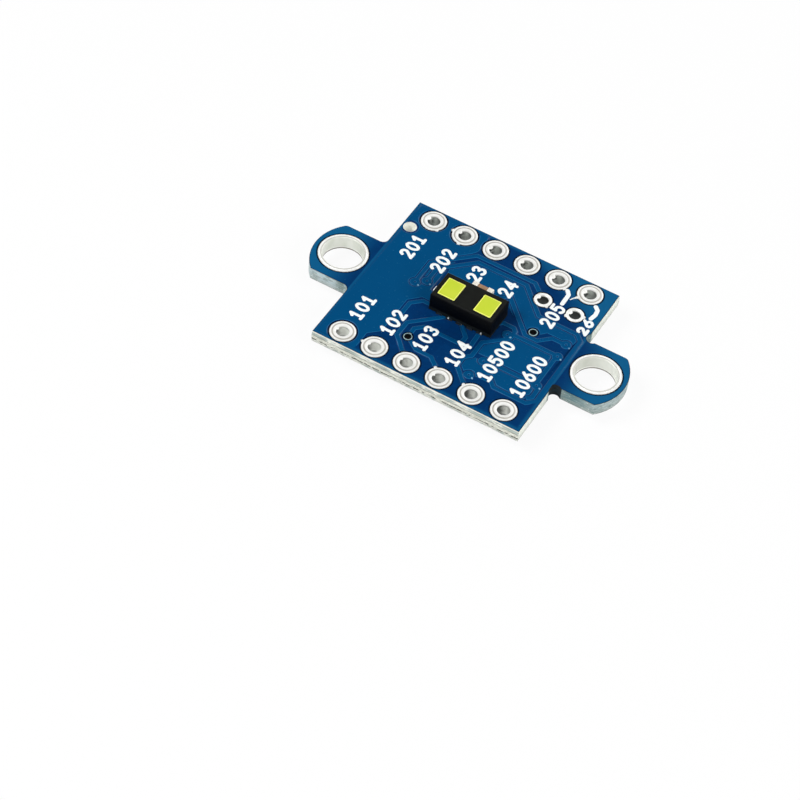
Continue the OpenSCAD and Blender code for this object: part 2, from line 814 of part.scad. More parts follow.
// Joints under the sensor; those of the long rows rise a little up its sides
module sensor_solder() {
    up = joint_t + substrate_t / 3;
    color([0.75, 0.76, 0.76])
        translate([0, 0, land_z]) {
            for (i = [1 : sensor_pads_per_row], s = [-1, 1])
                translate([sensor_place(i, 1).x, 0, 0])
                    rotate([90, 0, 90])
                        linear_extrude(sensor_pad.x, center = true)
                            polygon([
                                [s * (sensor_pad_y - sensor_pad.y / 2), 0],
                                [s * (sensor_w / 2 + sensor_toe), 0],
                                [s * (sensor_w / 2 + sensor_toe / 3), up / 2],
                                [s * sensor_w / 2, up],
                                [s * sensor_w / 2, joint_t],
                                [s * (sensor_pad_y - sensor_pad.y / 2), joint_t]
                            ]);
            for (s = [-1, 1])
                translate([s * sensor_pad_x, 0, 0])
                    block([sensor_end_pad.x, sensor_end_pad.y, joint_t]);
        }
}

// Chip capacitor or resistor, h high, on pads at height zero
module chip_core(h) {
    wrap = 2 * cap_end_t;
    block([chip_l - wrap, chip_w - wrap, h - wrap], pad_solder_t + cap_end_t);
}
module chip_ends(h) {
    color([0.85, 0.84, 0.8])
        for (s = [-1, 1])
            difference() {
                translate([s * (chip_l - cap_end_l) / 2, 0, 0])
                    block([cap_end_l, chip_w, h], pad_solder_t);
                chip_core(h);
            }
}
module chip_joints(h) {
    up = pad_solder_t + min(fillet_l, h * 0.6);
    color([0.75, 0.76, 0.76])
        for (s = [0, 1])
            mirror([s, 0])
                translate([chip_l / 2, 0, 0]) {
                    rotate([90, 0, 0])
                        linear_extrude(chip_w, center = true)
                            polygon([[0, 0], [fillet_l, 0], [fillet_l * 0.4, up * 0.35], [0, up]]);
                    translate([-cap_end_l / 2, 0, 0])
                        block([cap_end_l, chip_w, pad_solder_t]);
                }
}
module on_top(place) {
    translate([place.x, place.y, land_z])
        children();
}
module on_underside(place) {
    translate([place.x, place.y, -copper_t])
        mirror([0, 0, 1])
            children();
}
module sensor_capacitor_body() {
    color([0.55, 0.42, 0.32])
        on_top(sensor_capacitor_place)
            chip_core(capacitor_h);
}
module sensor_capacitor_ends() {
    on_top(sensor_capacitor_place)
        chip_ends(capacitor_h);
}
module sensor_capacitor_solder() {
    on_top(sensor_capacitor_place)
        chip_joints(capacitor_h);
}
module capacitor_body(i) {
    color([0.55, 0.42, 0.32])
        on_underside(capacitor_places[i - 1])
            chip_core(capacitor_h);
}
module capacitor_ends(i) {
    on_underside(capacitor_places[i - 1])
        chip_ends(capacitor_h);
}
module resistor_body(i) {
    color([0.12, 0.12, 0.13])
        on_underside(resistor_places[i - 1])
            chip_core(resistor_h);
}
module resistor_ends(i) {
    on_underside(resistor_places[i - 1])
        chip_ends(resistor_h);
}
module chip_solder() {
    for (c = capacitor_places)
        on_underside(c)
            chip_joints(capacitor_h);
    for (c = resistor_places)
        on_underside(c)
            chip_joints(resistor_h);
}

// One bent lead that leaves a moulded body towards +Y, and the solder under its foot
module gull_lead(body_w, span, foot_l, h, w) {
    foot_z = pad_solder_t + lead_t / 2;
    knee = (span - body_w) / 2 - foot_l;
    path = [
        [body_w / 2, standoff + h / 2],
        [body_w / 2 + knee * 0.4, standoff + h / 2],
        [span / 2 - foot_l, foot_z],
        [span / 2, foot_z]
    ];
    color([0.8, 0.8, 0.78])
        rotate([90, 0, 90])
            linear_extrude(w, center = true)
                polygon(strip(path, lead_t));
}
module foot_joint(span, foot_l, w) {
    up = pad_solder_t + lead_t * 0.8;
    color([0.75, 0.76, 0.76])
        translate([0, span / 2, 0]) {
            rotate([90, 0, 90])
                linear_extrude(w, center = true)
                    polygon([[0, 0], [toe, 0], [toe * 0.5, up * 0.35], [0, up]]);
            translate([0, -foot_l / 2, 0])
                block([w, foot_l, pad_solder_t]);
        }
}

// Controller on the underside
module at_controller_leads() {
    on_underside([0, 0])
        for (i = [1 : controller_leads_per_side], s = [0, 1])
            translate([lead_x(i), 0, 0])
                mirror([0, s])
                    children();
}
module controller_body() {
    mark_r = 0.35;
    mark_depth = 0.06;
    mark_inset = 0.9;
    color([0.07, 0.07, 0.08])
        on_underside(controller_place)
            difference() {
                translate([0, 0, standoff])
                    crossed(
                        drafted(controller_l, controller_h),
                        drafted(controller_w, controller_h),
                        [controller_l, controller_w]
                    );
                translate([mark_inset - controller_l / 2, mark_inset - controller_w / 2,
                    standoff + controller_h - mark_depth])
                    cylinder(r = mark_r, h = over);
            }
}
module controller_leads() {
    at_controller_leads()
        gull_lead(controller_w, controller_span, controller_foot_l, controller_h, controller_lead_w);
}
module controller_solder() {
    at_controller_leads()
        foot_joint(controller_span, controller_foot_l, controller_lead_w);
}

// Regulator on the underside, with its length along Y
module at_regulator_leads() {
    on_underside(regulator_place)
        for (p = regulator_leads_at)
            translate([0, p.y * regulator_lead_spacing / 2, 0])
                rotate([0, 0, -90 * p.x])
                    children();
}
module regulator_body() {
    color([0.07, 0.07, 0.08])
        on_underside(regulator_place)
            translate([0, 0, standoff])
                crossed(
                    drafted(regulator_w, regulator_h),
                    drafted(regulator_l, regulator_h),
                    [regulator_w, regulator_l]
                );
}
module regulator_leads() {
    at_regulator_leads()
        gull_lead(regulator_w, regulator_span, regulator_foot_l, regulator_h, regulator_lead_w);
}
module regulator_solder() {
    at_regulator_leads()
        foot_joint(regulator_span, regulator_foot_l, regulator_lead_w);
}

board_laminate();
top_copper();
bottom_copper();
top_solder_mask();
bottom_solder_mask();
top_legend();
for (i = [1 : pins_per_row]) {
    barrel_near(i);
    barrel_far(i);
}
barrel_left_ear();
barrel_right_ear();
for (i = [1, 2])
    barrel_test(i);
open_via_barrels();
tented_via_barrels();
sensor_substrate();
sensor_cap();
emitter_window();
receiver_window();
emitter_die();
receiver_die();
sensor_solder();
sensor_capacitor_body();
sensor_capacitor_ends();
sensor_capacitor_solder();
controller_body();
controller_leads();
controller_solder();
regulator_body();
regulator_leads();
regulator_solder();
for (i = [1 : len(capacitor_places)]) {
    capacitor_body(i);
    capacitor_ends(i);
}
for (i = [1 : len(resistor_places)]) {
    resistor_body(i);
    resistor_ends(i);
}
chip_solder();
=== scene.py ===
"""Finishes, printed numbers and setting of a small distance-sensor board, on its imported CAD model."""

import json
import math

import bmesh
import bpy
from mathutils import Matrix, Vector, noise
from mathutils.bvhtree import BVHTree


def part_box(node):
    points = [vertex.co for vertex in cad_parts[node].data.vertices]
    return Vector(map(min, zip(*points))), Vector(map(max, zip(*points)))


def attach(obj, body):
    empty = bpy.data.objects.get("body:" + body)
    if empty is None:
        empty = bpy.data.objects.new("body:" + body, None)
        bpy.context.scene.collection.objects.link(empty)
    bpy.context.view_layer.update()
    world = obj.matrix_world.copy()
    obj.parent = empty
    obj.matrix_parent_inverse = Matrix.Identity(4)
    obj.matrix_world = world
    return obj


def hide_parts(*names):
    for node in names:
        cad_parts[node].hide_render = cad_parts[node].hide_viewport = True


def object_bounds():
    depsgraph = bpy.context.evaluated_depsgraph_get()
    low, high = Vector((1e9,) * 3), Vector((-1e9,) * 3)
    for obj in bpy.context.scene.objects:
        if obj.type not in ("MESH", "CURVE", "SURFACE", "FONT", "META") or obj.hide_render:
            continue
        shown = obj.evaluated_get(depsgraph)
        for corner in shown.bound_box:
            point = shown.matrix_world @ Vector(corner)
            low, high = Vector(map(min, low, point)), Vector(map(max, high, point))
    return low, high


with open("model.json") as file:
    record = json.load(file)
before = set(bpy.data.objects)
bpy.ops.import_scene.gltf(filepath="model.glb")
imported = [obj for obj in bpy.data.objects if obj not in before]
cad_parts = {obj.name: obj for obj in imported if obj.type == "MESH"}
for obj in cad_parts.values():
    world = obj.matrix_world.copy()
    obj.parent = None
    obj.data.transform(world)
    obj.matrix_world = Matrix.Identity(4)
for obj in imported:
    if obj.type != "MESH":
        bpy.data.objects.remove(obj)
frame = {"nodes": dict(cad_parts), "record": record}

bl_info = {
    "name": "Distance Sensor Board",
    "version": (1, 0, 0),
    "blender": (4, 5, 0),
    "location": "3D View > Sidebar > Sensor Board",
    "description": "Finishes, printed numbers and setting of a small distance-sensor board",
    "category": "Object",
}

NODES = frame["nodes"]
CAD_BOX = [list(corner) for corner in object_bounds()]
MM = 0.001

CAPACITORS = ["capacitor_1", "capacitor_2", "capacitor_3", "sensor_capacitor"]
RESISTORS = ["resistor_1", "resistor_2", "resistor_3", "resistor_4"]
EYELETS = ["barrel_%s_%d" % (row, i) for row in ("near", "far") for i in range(1, 7)]
EYELETS += ["barrel_left_ear", "barrel_right_ear", "barrel_test_1", "barrel_test_2"]


def corners(node):
    """Lowest and highest corner of a CAD node, in millimetres."""
    low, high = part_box(node)
    return low / MM, high / MM


def middle(node):
    """Middle of a CAD node's box, in millimetres."""
    low, high = corners(node)
    return (low + high) / 2


# Places and sizes read from the CAD nodes or given here, all in millimetres
BOARD_HIGH = corners("board_laminate")[1]
BOARD_TOP = BOARD_HIGH.z
COPPER_TOP = corners("top_copper")[1].z
COPPER_T = COPPER_TOP - BOARD_TOP
MASK_TOP = corners("top_solder_mask")[1].z
MASK_T = MASK_TOP - COPPER_TOP
PIN_PITCH = (middle("barrel_near_6").x - middle("barrel_near_1").x) / 5
PIN_ROW = 6.35
# Radii of the pins', ears', test holes' and vias' lands and bores
LAND_RADII = (0.93, 1.8, 0.65, 0.31)
BORE_RADII = (0.475, 1.5, 0.425, 0.2)
EAR_X = middle("barrel_right_ear").x
BODY_HALF = Vector((8.13, 7.45))
SCORE_DEPTH = 0.1
TEST_PLACES = ((3.81, 4.03), (6.35, 4.03))
VIA_PLACES = ((-2.37, -4.25), (4.68, 0.95))
MASKED_VIAS = (
    (-4.52, 0.46), (-3.86, 1), (3.28, -0.24), (7.14, 1.19),
    (7.14, -0.08), (7.18, -3.2), (2.84, -4.94), (3.1, -3.3),
)
TOOLING_HOLE = (-7.5, 4.9)
NOTCH = (8.4, -2.77)
LIT_JOINTS = ((-0.86, -1.3), (0.25, -1.3), (1.73, -1.3))
# How far each number stands to the right of its pin, and where its first digit begins
NEAR_NUMBERS = ((0.0, -4.9),) * 4 + ((0.0, -4.86),) * 2
FAR_NUMBERS = ((0.0, 2.1), (0.0, 2.1), (0.0, 2.72), (0.0, 2.72), (1.27, 1.85), (1.14, 2.62))
# The last number stands between a test eyelet and the relieved corner, so it is a little smaller
LAST_NUMBER_HEIGHT = 0.78
# Bends of the leader lines, from their pins
LEADERS = {
    "barrel_far_5": ((1.02, -0.56), (1.28, -0.88), (1.3, -1.9)),
    "barrel_far_6": ((0.86, -0.8), (1.14, -1.05), (1.2, -1.5), (1.1, -2.02)),
}
LEADER_W = 0.32
TICK = ((-3.03, 0.5), (-3.03, 0.92))
TICK_W = 0.12
# The tin of the last far pin runs out from a root to a tip, in two steps of share of the way and width
TAIL_ROOT, TAIL_TIP = Vector((-0.58, -0.74)), Vector((-0.95, -1.2))
TAIL_STEPS = ((0.45, 0.15), (1.0, 0.085))
TAIL_T = 0.02
# The camera's place, and which way its right and its top point
CAMERA_PLACE = Vector((49.72222, -114.70434, 137.124106 + COPPER_TOP))
CAMERA_RIGHT = Vector((0.86164292, 0.50220343, 0.07323375))
CAMERA_UP = Vector((-0.4258009, 0.63682617, 0.64276437))


def linear(value):
    """One sRGB channel of 0 to 255 as the linear number that Blender's colours hold."""
    value /= 255
    return value / 12.92 if value <= 0.04045 else ((value + 0.055) / 1.055) ** 2.4


def srgb(red, green, blue):
    return (linear(red), linear(green), linear(blue))


# ---------------------------------------------------------------- settings


def tint(name, thing, default):
    """A colour setting."""
    return bpy.props.FloatVectorProperty(
        name=name, description="Colour of " + thing, subtype="COLOR", size=3, min=0, max=1, default=default
    )


def length(name, description, default, high=5.0):
    """A length setting, given in millimetres."""
    return bpy.props.FloatProperty(
        name=name, description=description, subtype="DISTANCE", unit="LENGTH",
        default=default * MM, min=0, max=high * MM, precision=6,
    )


def lamp_power(name, thing, default):
    """A setting in watts."""
    return bpy.props.FloatProperty(
        name=name, description="Power of " + thing, subtype="POWER", unit="POWER",
        default=default, min=0, max=50,
    )


class BoardSettings(bpy.types.PropertyGroup):
    """Laminate of the board."""

    routed: tint("Routed Edge", "the laminate's routed edges", srgb(168, 184, 184))
    scored: tint("Scored Edge", "the smooth scored edges", srgb(176, 188, 181))
    resin: tint("Broken Resin", "the broken web between the scores", srgb(240, 241, 230))
    web_roughness: length("Break Depth", "How deep the broken web is torn", 0.07, 0.09)


class MaskSettings(bpy.types.PropertyGroup):
    """Solder mask on both sides."""

    on_copper: tint("Mask on Copper", "the lacquer where copper lies under it", srgb(1, 72, 119))
    on_laminate: tint("Mask on Laminate", "the lacquer on bare laminate", srgb(1, 49, 100))
    lit: tint("Mask near Edges", "the lacquer where light leaks in from a cut edge", srgb(14, 88, 133))
    shoulder: length("Shoulder", "How wide the lacquer runs out beside the copper's edges", 0.09, 0.12)
    gloss: bpy.props.FloatProperty(
        name="Roughness", description="Roughness of the lacquer", subtype="FACTOR",
        default=0.26, min=0.05, max=0.6,
    )


class PrintSettings(bpy.types.PropertyGroup):
    """White printing on the sensor side."""

    ink: tint("Ink", "the printing ink", srgb(244, 249, 248))
    height: length("Digit Height", "Height of the printed digits", 1.12)
    advance: length("Digit Advance", "Distance from one digit to the next", 0.83)
    stroke: length("Stroke Width", "Width of the printed strokes", 0.235, 0.4)
    thickness: length("Ink Thickness", "Thickness of the ink", 0.02, 0.05)
    near: bpy.props.StringProperty(
        name="Near Numbers", description="Numbers beside the near pins, from the first",
        default="101 102 103 104 10500 10600",
    )
    far: bpy.props.StringProperty(
        name="Far Numbers", description="Numbers beside the far pins, from the first",
        default="201 202 23 24 205 26",
    )


class MetalSettings(bpy.types.PropertyGroup):
    """Tin, solder, copper and leads."""

    tin: tint("Tin", "the tinned lands and barrels", srgb(255, 255, 252))
    copper: tint("Copper", "bare copper", srgb(222, 160, 120))
    lead: tint("Leads", "the tinned leads", srgb(214, 214, 211))
    terminal: tint("Terminals", "the chip parts' end caps", srgb(255, 250, 238))


class SensorSettings(bpy.types.PropertyGroup):
    """Sensor package with its two windows."""

    housing: tint("Housing", "the moulded cap", srgb(0, 1, 3))
    window: tint("Window", "the two filters", srgb(196, 214, 52))
    rim: tint("Window Rim", "the filters' cut rim", srgb(248, 252, 120))
    rim_width: length("Rim Width", "Width of the pale rim around each filter", 0.07, 0.3)
    edge: length("Edge Rounding", "Rounding of the moulded cap's edges", 0.03, 0.05)


class PackageSettings(bpy.types.PropertyGroup):
    """Chip parts and leaded packages."""

    ceramic: tint("Capacitor Ceramic", "the capacitors' bodies", srgb(158, 120, 88))
    resistor: tint("Resistor Coat", "the resistors' coat", srgb(30, 31, 34))
    moulding: tint("Moulding", "the moulded packages", srgb(24, 24, 26))
    rounding: length("Edge Rounding", "Rounding of the chip parts' corners", 0.05, 0.1)


class StageSettings(bpy.types.PropertyGroup):
    """Floor, lamps and camera."""

    floor: tint("Floor", "the floor", (0.9, 0.9, 0.9))
    key: lamp_power("Key Lamp", "the key lamp", 1.6)
    fill: lamp_power("Fill Lamp", "the fill lamp", 1.0)
    focal: bpy.props.FloatProperty(
        name="Focal Length", description="Camera's focal length in millimetres", default=119.88, min=20, max=400
    )


def settings(name):
    return getattr(bpy.context.scene, name)


# ---------------------------------------------------------------- nodes and shader maths


def feed(socket, value):
    """Links a socket to another one, or gives it a value."""
    if isinstance(value, Value):
        value = value.socket
    if isinstance(value, bpy.types.NodeSocket):
        socket.id_data.links.new(value, socket)
    elif socket.type == "RGBA":
        socket.default_value = (*value[:3], 1)
    else:
        socket.default_value = value


def add_node(tree, kind, sockets=None, **options):
    """Adds a node to a tree: first its options, then the values or links of its sockets."""
    made = tree.nodes.new(kind)
    for name, value in options.items():
        setattr(made, name, value)
    for key, value in (sockets or {}).items():
        feed(made.inputs[key], value)
    return made


def maths(operation, swapped=False):
    """A method of Value that adds a Math node with two terms."""

    def method(self, other):
        return self.math(operation, *((other, self) if swapped else (self, other)))

    return method


class Value:
    """A number inside a material. Python's operators on it add Math nodes."""

    def __init__(self, finish, socket):
        self.finish = finish
        self.socket = socket

    def math(self, operation, *terms):
        return self.finish.value("ShaderNodeMath", dict(enumerate(terms)), operation=operation)

    __add__ = __radd__ = maths("ADD")
    __mul__ = __rmul__ = maths("MULTIPLY")
    __sub__ = maths("SUBTRACT")
    __rsub__ = maths("SUBTRACT", swapped=True)
    __truediv__ = maths("DIVIDE")
    smaller = maths("MINIMUM")
    larger = maths("MAXIMUM")

    def __abs__(self):
        return self.math("ABSOLUTE", self)

    def beside(self, other):
        """Length of a line that runs this far one way and other far across it."""
        return self.math("SQRT", self * self + other * other)

    def wrapped(self, low, high):
        return self.math("WRAP", self, high, low)

    def rise(self, low, high, start=0.0, end=1.0):
        """start below low, end above high, and a smooth step between."""
        sockets = dict(enumerate((self, low, high, start, end)))
        return self.finish.value("ShaderNodeMapRange", sockets, interpolation_type="SMOOTHSTEP")

    def fall(self, low, high):
        """1 below low, 0 above high, and a smooth step between."""
        return self.rise(low, high, 1.0, 0.0)


class Finish:
    """One procedural material. Its places are the piece's Object coordinates, in millimetres."""

    def __init__(self, name):
        self.material = bpy.data.materials.new(name)
        self.material.use_nodes = True
        self.tree = self.material.node_tree
        self.tree.nodes.clear()
        self.shader = self.node("ShaderNodeBsdfPrincipled")
        self.output = self.node("ShaderNodeOutputMaterial", {"Surface": self.shader.outputs[0]})
        coordinates = self.node("ShaderNodeTexCoord").outputs["Object"]
        self.place = self.node(
            "ShaderNodeVectorMath", {0: coordinates, "Scale": 1 / MM}, operation="SCALE"
        ).outputs[0]
        split = self.node("ShaderNodeSeparateXYZ", {0: self.place})
        self.x, self.y, self.z = (Value(self, socket) for socket in split.outputs)

    def node(self, kind, sockets=None, **options):
        return add_node(self.tree, kind, sockets, **options)

    def value(self, kind, sockets, **options):
        return Value(self, self.node(kind, sockets, **options).outputs[0])

    def mix(self, amount, first, second):
        """Colour between two colours."""
        return self.node("ShaderNodeMix", {0: amount, 6: first, 7: second}, data_type="RGBA").outputs[2]

    def layered(self, base, *layers):
        """A colour under layers of other colours, each given as an amount and a colour."""
        for amount, colour in layers:
            base = self.mix(amount, base, colour)
        return base

    def noise(self, scale, detail=2.0, stretch=None, roughness=0.5):
        """Cloudy noise from 0 to 1, of scale cells to the millimetre, times stretch along each axis."""
        where = self.place
        if stretch:
            where = self.node("ShaderNodeVectorMath", {0: where, 1: stretch}, operation="MULTIPLY").outputs[0]
        sockets = {"Vector": where, "Scale": scale, "Detail": detail, "Roughness": roughness}
        return self.value("ShaderNodeTexNoise", sockets)

    def column(self):
        """How far a place lies to the right of the nearest column of pins."""
        return (self.x - PIN_PITCH / 2).wrapped(-PIN_PITCH / 2, PIN_PITCH / 2)

    def from_pins(self):
        """Distance over the board's face from the nearest pin's axis."""
        beyond = abs(self.x).rise(3 * PIN_PITCH, 3 * PIN_PITCH + 0.01)
        return self.column().beside(abs(self.y) - PIN_ROW) + beyond * 5.0

    def nearest(self, *places):
        """Distance over the board's face from the nearest of some places."""
        found = None
        for x, y in places:
            apart = (self.x - x).beside(self.y - y)
            found = found.smaller(apart) if found else apart
        return found

    def outside(self, radii):
        """How far outside the nearest plated circle a place lies, by the radii of the four kinds."""
        pin, ear, test, via = radii
        gap = (self.from_pins() - pin).smaller((abs(self.x) - EAR_X).beside(self.y) - ear)
        return gap.smaller(self.nearest(*TEST_PLACES) - test).smaller(self.nearest(*VIA_PLACES) - via)

    def round_walls(self, up, amount):
        """Normals turned by an amount towards the nearest pin hole's axis, up from which a place lies."""
        inward = self.node("ShaderNodeCombineXYZ", {0: self.column() * -1, 1: up * -1, 2: 0.0}).outputs[0]
        inward = self.node("ShaderNodeVectorMath", {0: inward}, operation="NORMALIZE").outputs[0]
        flat = self.node("ShaderNodeNewGeometry").outputs["Normal"]
        return self.node("ShaderNodeMix", {0: amount, 4: flat, 5: inward}, data_type="VECTOR").outputs[1]

    def relief(self, height, depth, **base):
        """Normal of a relief, depth millimetres proud at a height of 1, on the surface or a base Normal."""
        sockets = {"Strength": 1.0, "Distance": depth * MM, "Height": height, **base}
        return self.node("ShaderNodeBump", sockets).outputs[0]

    def set(self, **sockets):
        """Sets the shader's sockets, with _ for each space in their names."""
        for name, value in sockets.items():
            feed(self.shader.inputs[name.replace("_", " ")], value)
        return self.material

    def clouded(self, cloud, first, second, spread, rough, depth, **sockets):
        """Clouds a colour with another: spread is where the cloud begins and ends and how far it covers."""
        low, high, share = spread
        dull, duller = rough
        return self.set(
            Base_Color=self.mix(cloud.rise(low, high) * share, first, second),
            Roughness=dull + duller * cloud if duller else dull,
            Normal=self.relief(cloud, depth),
            **sockets,
        )


# ---------------------------------------------------------------- finishes


def laminate_finish(f):
    s = settings("sensor_board")
    half = BOARD_HIGH.y - SCORE_DEPTH
    from_middle = abs(f.z - BOARD_TOP / 2)
    scored = abs(f.y).rise(half - 0.02, half + 0.005)
    web = scored * from_middle.fall(0.17, 0.225)
    # Glass cloth shows in the routed walls as stacked plies
    plies = f.noise(1.0, 3.0, (1.3, 1.3, 16.0))
    speckle = f.noise(9.0, 3.0)
    mottle = f.noise(2.2, 5.0, (1.0, 1.0, 2.5), 0.7)
    # Painted light and shade: the walls on the left are painted lighter and those on the right darker, and the
    # short sides' walls beside the ears get a painted highlight
    right = f.x.rise(7.0, 8.3) * (0.95 - 0.7 * f.x.rise(9.4, 11.4))
    pale = abs(abs(f.x) - BODY_HALF.x).fall(0.02, 0.03) * abs(f.y).rise(3.2, 3.4)
    root = abs(f.x + 8.7).fall(0.2, 0.9) * f.noise(2.6, 3.0).rise(0.36, 0.56)
    routed = f.layered(
        s.routed,
        (f.x.fall(-8.5, -8.0) * 0.6, srgb(196, 216, 224)),
        (right, srgb(72, 116, 122)),
        (pale, srgb(236, 240, 228)),
        (root * 0.85, srgb(84, 112, 106)),
        (f.z.fall(0.1, 0.6) * 0.35, srgb(160, 160, 148)),
        (mottle.rise(0.46, 0.62) * 0.7 * (1 - pale * 0.7), srgb(96, 120, 116)),
        (f.z.fall(0.0, 0.07) * 0.7, srgb(112, 106, 96)),
        (plies.rise(0.48, 0.66) * (0.5 - right * 0.25), srgb(216, 222, 218)),
        (speckle.rise(0.62, 0.7) * 0.6, srgb(232, 236, 230)),
    )
    # Scratches run along the scores, which are cream under the pins' columns and along the foot
    scratches = f.noise(1.0, 4.0, (1.2, 9.0, 26.0), 0.65)
    cream = (abs(f.column()).fall(0.35, 0.95) * f.z.rise(0.62, 0.7)).larger(f.z.fall(0.3, 0.34))
    cream = cream * f.noise(3.0, 4.0, (1.0, 1.0, 3.0)).rise(0.3, 0.6)
    fibres = f.noise(2.6, 5.0, (1.0, 1.0, 8.0), 0.7)
    waver = (f.noise(0.9) - 0.5) * 0.1
    crack = abs(f.z - 0.36 + waver).fall(0.025, 0.06) * f.noise(4.2, 4.0).rise(0.4, 0.52)
    # A painted shadow line along the top of the broken web
    shelf_shadow = abs(f.z - 0.68 + waver * 0.4).fall(0.012, 0.035)
    edge = f.layered(
        s.scored,
        (scratches.rise(0.42, 0.62), srgb(138, 148, 142)),
        (f.z.rise(0.88, 0.95) * 0.8, srgb(240, 240, 230)),
        (cream * 0.85, srgb(234, 234, 224)),
        (web, f.mix(fibres.rise(0.42, 0.62), srgb(194, 196, 184), s.resin)),
        (crack, srgb(58, 58, 48)),
        (shelf_shadow * 0.75, srgb(96, 100, 92)),
    )
    # The bare drilled hole is cream, while the relieved notch and the slits beside the lands are painted dark,
    # as painted shade
    notch = f.nearest(NOTCH).fall(0.44, 0.5)
    slit = from_middle.rise(BOARD_TOP / 2 - 0.004, BOARD_TOP / 2 - 0.002) * (1 - scored)
    return f.set(
        Base_Color=f.layered(
            routed,
            (scored, edge),
            (f.nearest(TOOLING_HOLE).fall(0.56, 0.6), srgb(255, 255, 247)),
            (notch, f.mix(mottle.rise(0.46, 0.6), srgb(1, 14, 20), srgb(10, 42, 50))),
            (slit, srgb(6, 22, 36)),
        ),
        Roughness=0.5 + 0.35 * web + 0.5 * notch,
        Normal=f.relief(plies * 0.5 + fibres * web + speckle * 0.4 + scratches * scored * 0.6, 0.025),
        IOR=1.52,
    )


def mask_finish(f):
    s = settings("sensor_mask")
    low = BOARD_TOP / 2 + MASK_T
    raised = abs(f.z - BOARD_TOP / 2).rise(low + 0.006, low + COPPER_T - 0.008)
    weave = f.noise(1.6, 2.0, (1.0, 3.0, 1.0)) + f.noise(1.6, 2.0, (3.0, 1.0, 1.0))
    # Painted light: the bare lacquer is painted brighter near the cut edges and at the ears, where light leaks
    # into the laminate, and towards the far right corner as a painted reflection of a broad lamp
    to_edge = (BODY_HALF.x - abs(f.x)).smaller(BODY_HALF.y - abs(f.y))
    painted_light = to_edge.fall(0.1, 0.4) * abs(f.x).fall(BODY_HALF.x, BODY_HALF.x + 0.02) * 0.7
    painted_light = painted_light.larger(abs(f.x).rise(8.0, 10.8)).larger((f.x + f.y * 1.1).rise(9.6, 13.5))
    painted_light = painted_light.larger((f.x + f.y * 2.0).rise(14.4, 17.4) * 0.8)
    # Painted shade at the foot and a painted highlight at the crest of the shoulders beside the copper, but not
    # at the board's edge
    open_face = 1 - f.z.rise(BOARD_TOP, BOARD_TOP + 0.01) * to_edge.fall(0.42, 0.55)
    slope = raised * (1 - raised) * 4.0 * open_face
    crest = raised.rise(0.45, 0.75) * raised.fall(0.9, 1.0) * open_face
    # Painted glints on the lacquer beside the tented vias
    via_glints = f.nearest(*((x + 0.33, y - 0.16) for x, y in MASKED_VIAS)) + f.noise(5.0) * 0.16
    shade = ((f.x - 0.9) / 1.5).beside((f.y + 1.9) / 0.9).fall(0.7, 2.0)
    return f.set(
        Base_Color=f.layered(
            [c * 0.88 for c in s.on_laminate],
            (weave.rise(0.8, 1.25), s.on_laminate),
            (painted_light, s.lit),
            (raised.rise(0.5, 0.9), s.on_copper),
            (f.noise(0.45, 3.0).rise(0.3, 0.8) * 0.12, [c * 1.3 for c in s.on_copper]),
            (slope * raised.fall(0.35, 0.65) * 0.6, srgb(0, 28, 76)),
            (crest * 0.75, srgb(20, 126, 180)),
            (via_glints.fall(0.1, 0.18) * f.z.rise(0.5, 0.6) * 0.75, srgb(150, 200, 228)),
            (shade * 0.3, srgb(0, 22, 60)),
            # Painted shade in a dark ring round the plated holes' openings
            (f.outside(LAND_RADII).fall(0.08, 0.15), srgb(0, 14, 34)),
        ),
        Roughness=s.gloss + (f.noise(5.0, 3.0) - 0.5) * 0.08 + slope * 0.6,
        Normal=f.relief(f.noise(1.1) + f.noise(6.0) * 0.08, 0.012),
        Specular_IOR_Level=0.15,
    )


def ink_finish(f):
    worn = f.noise(3.0, 3.0).rise(0.62, 0.8)
    return f.set(
        Base_Color=f.mix(worn * 0.25, settings("sensor_print").ink, srgb(200, 216, 226)),
        Roughness=0.62,
        Normal=f.relief(f.noise(14.0, 3.0), 0.006),
    )


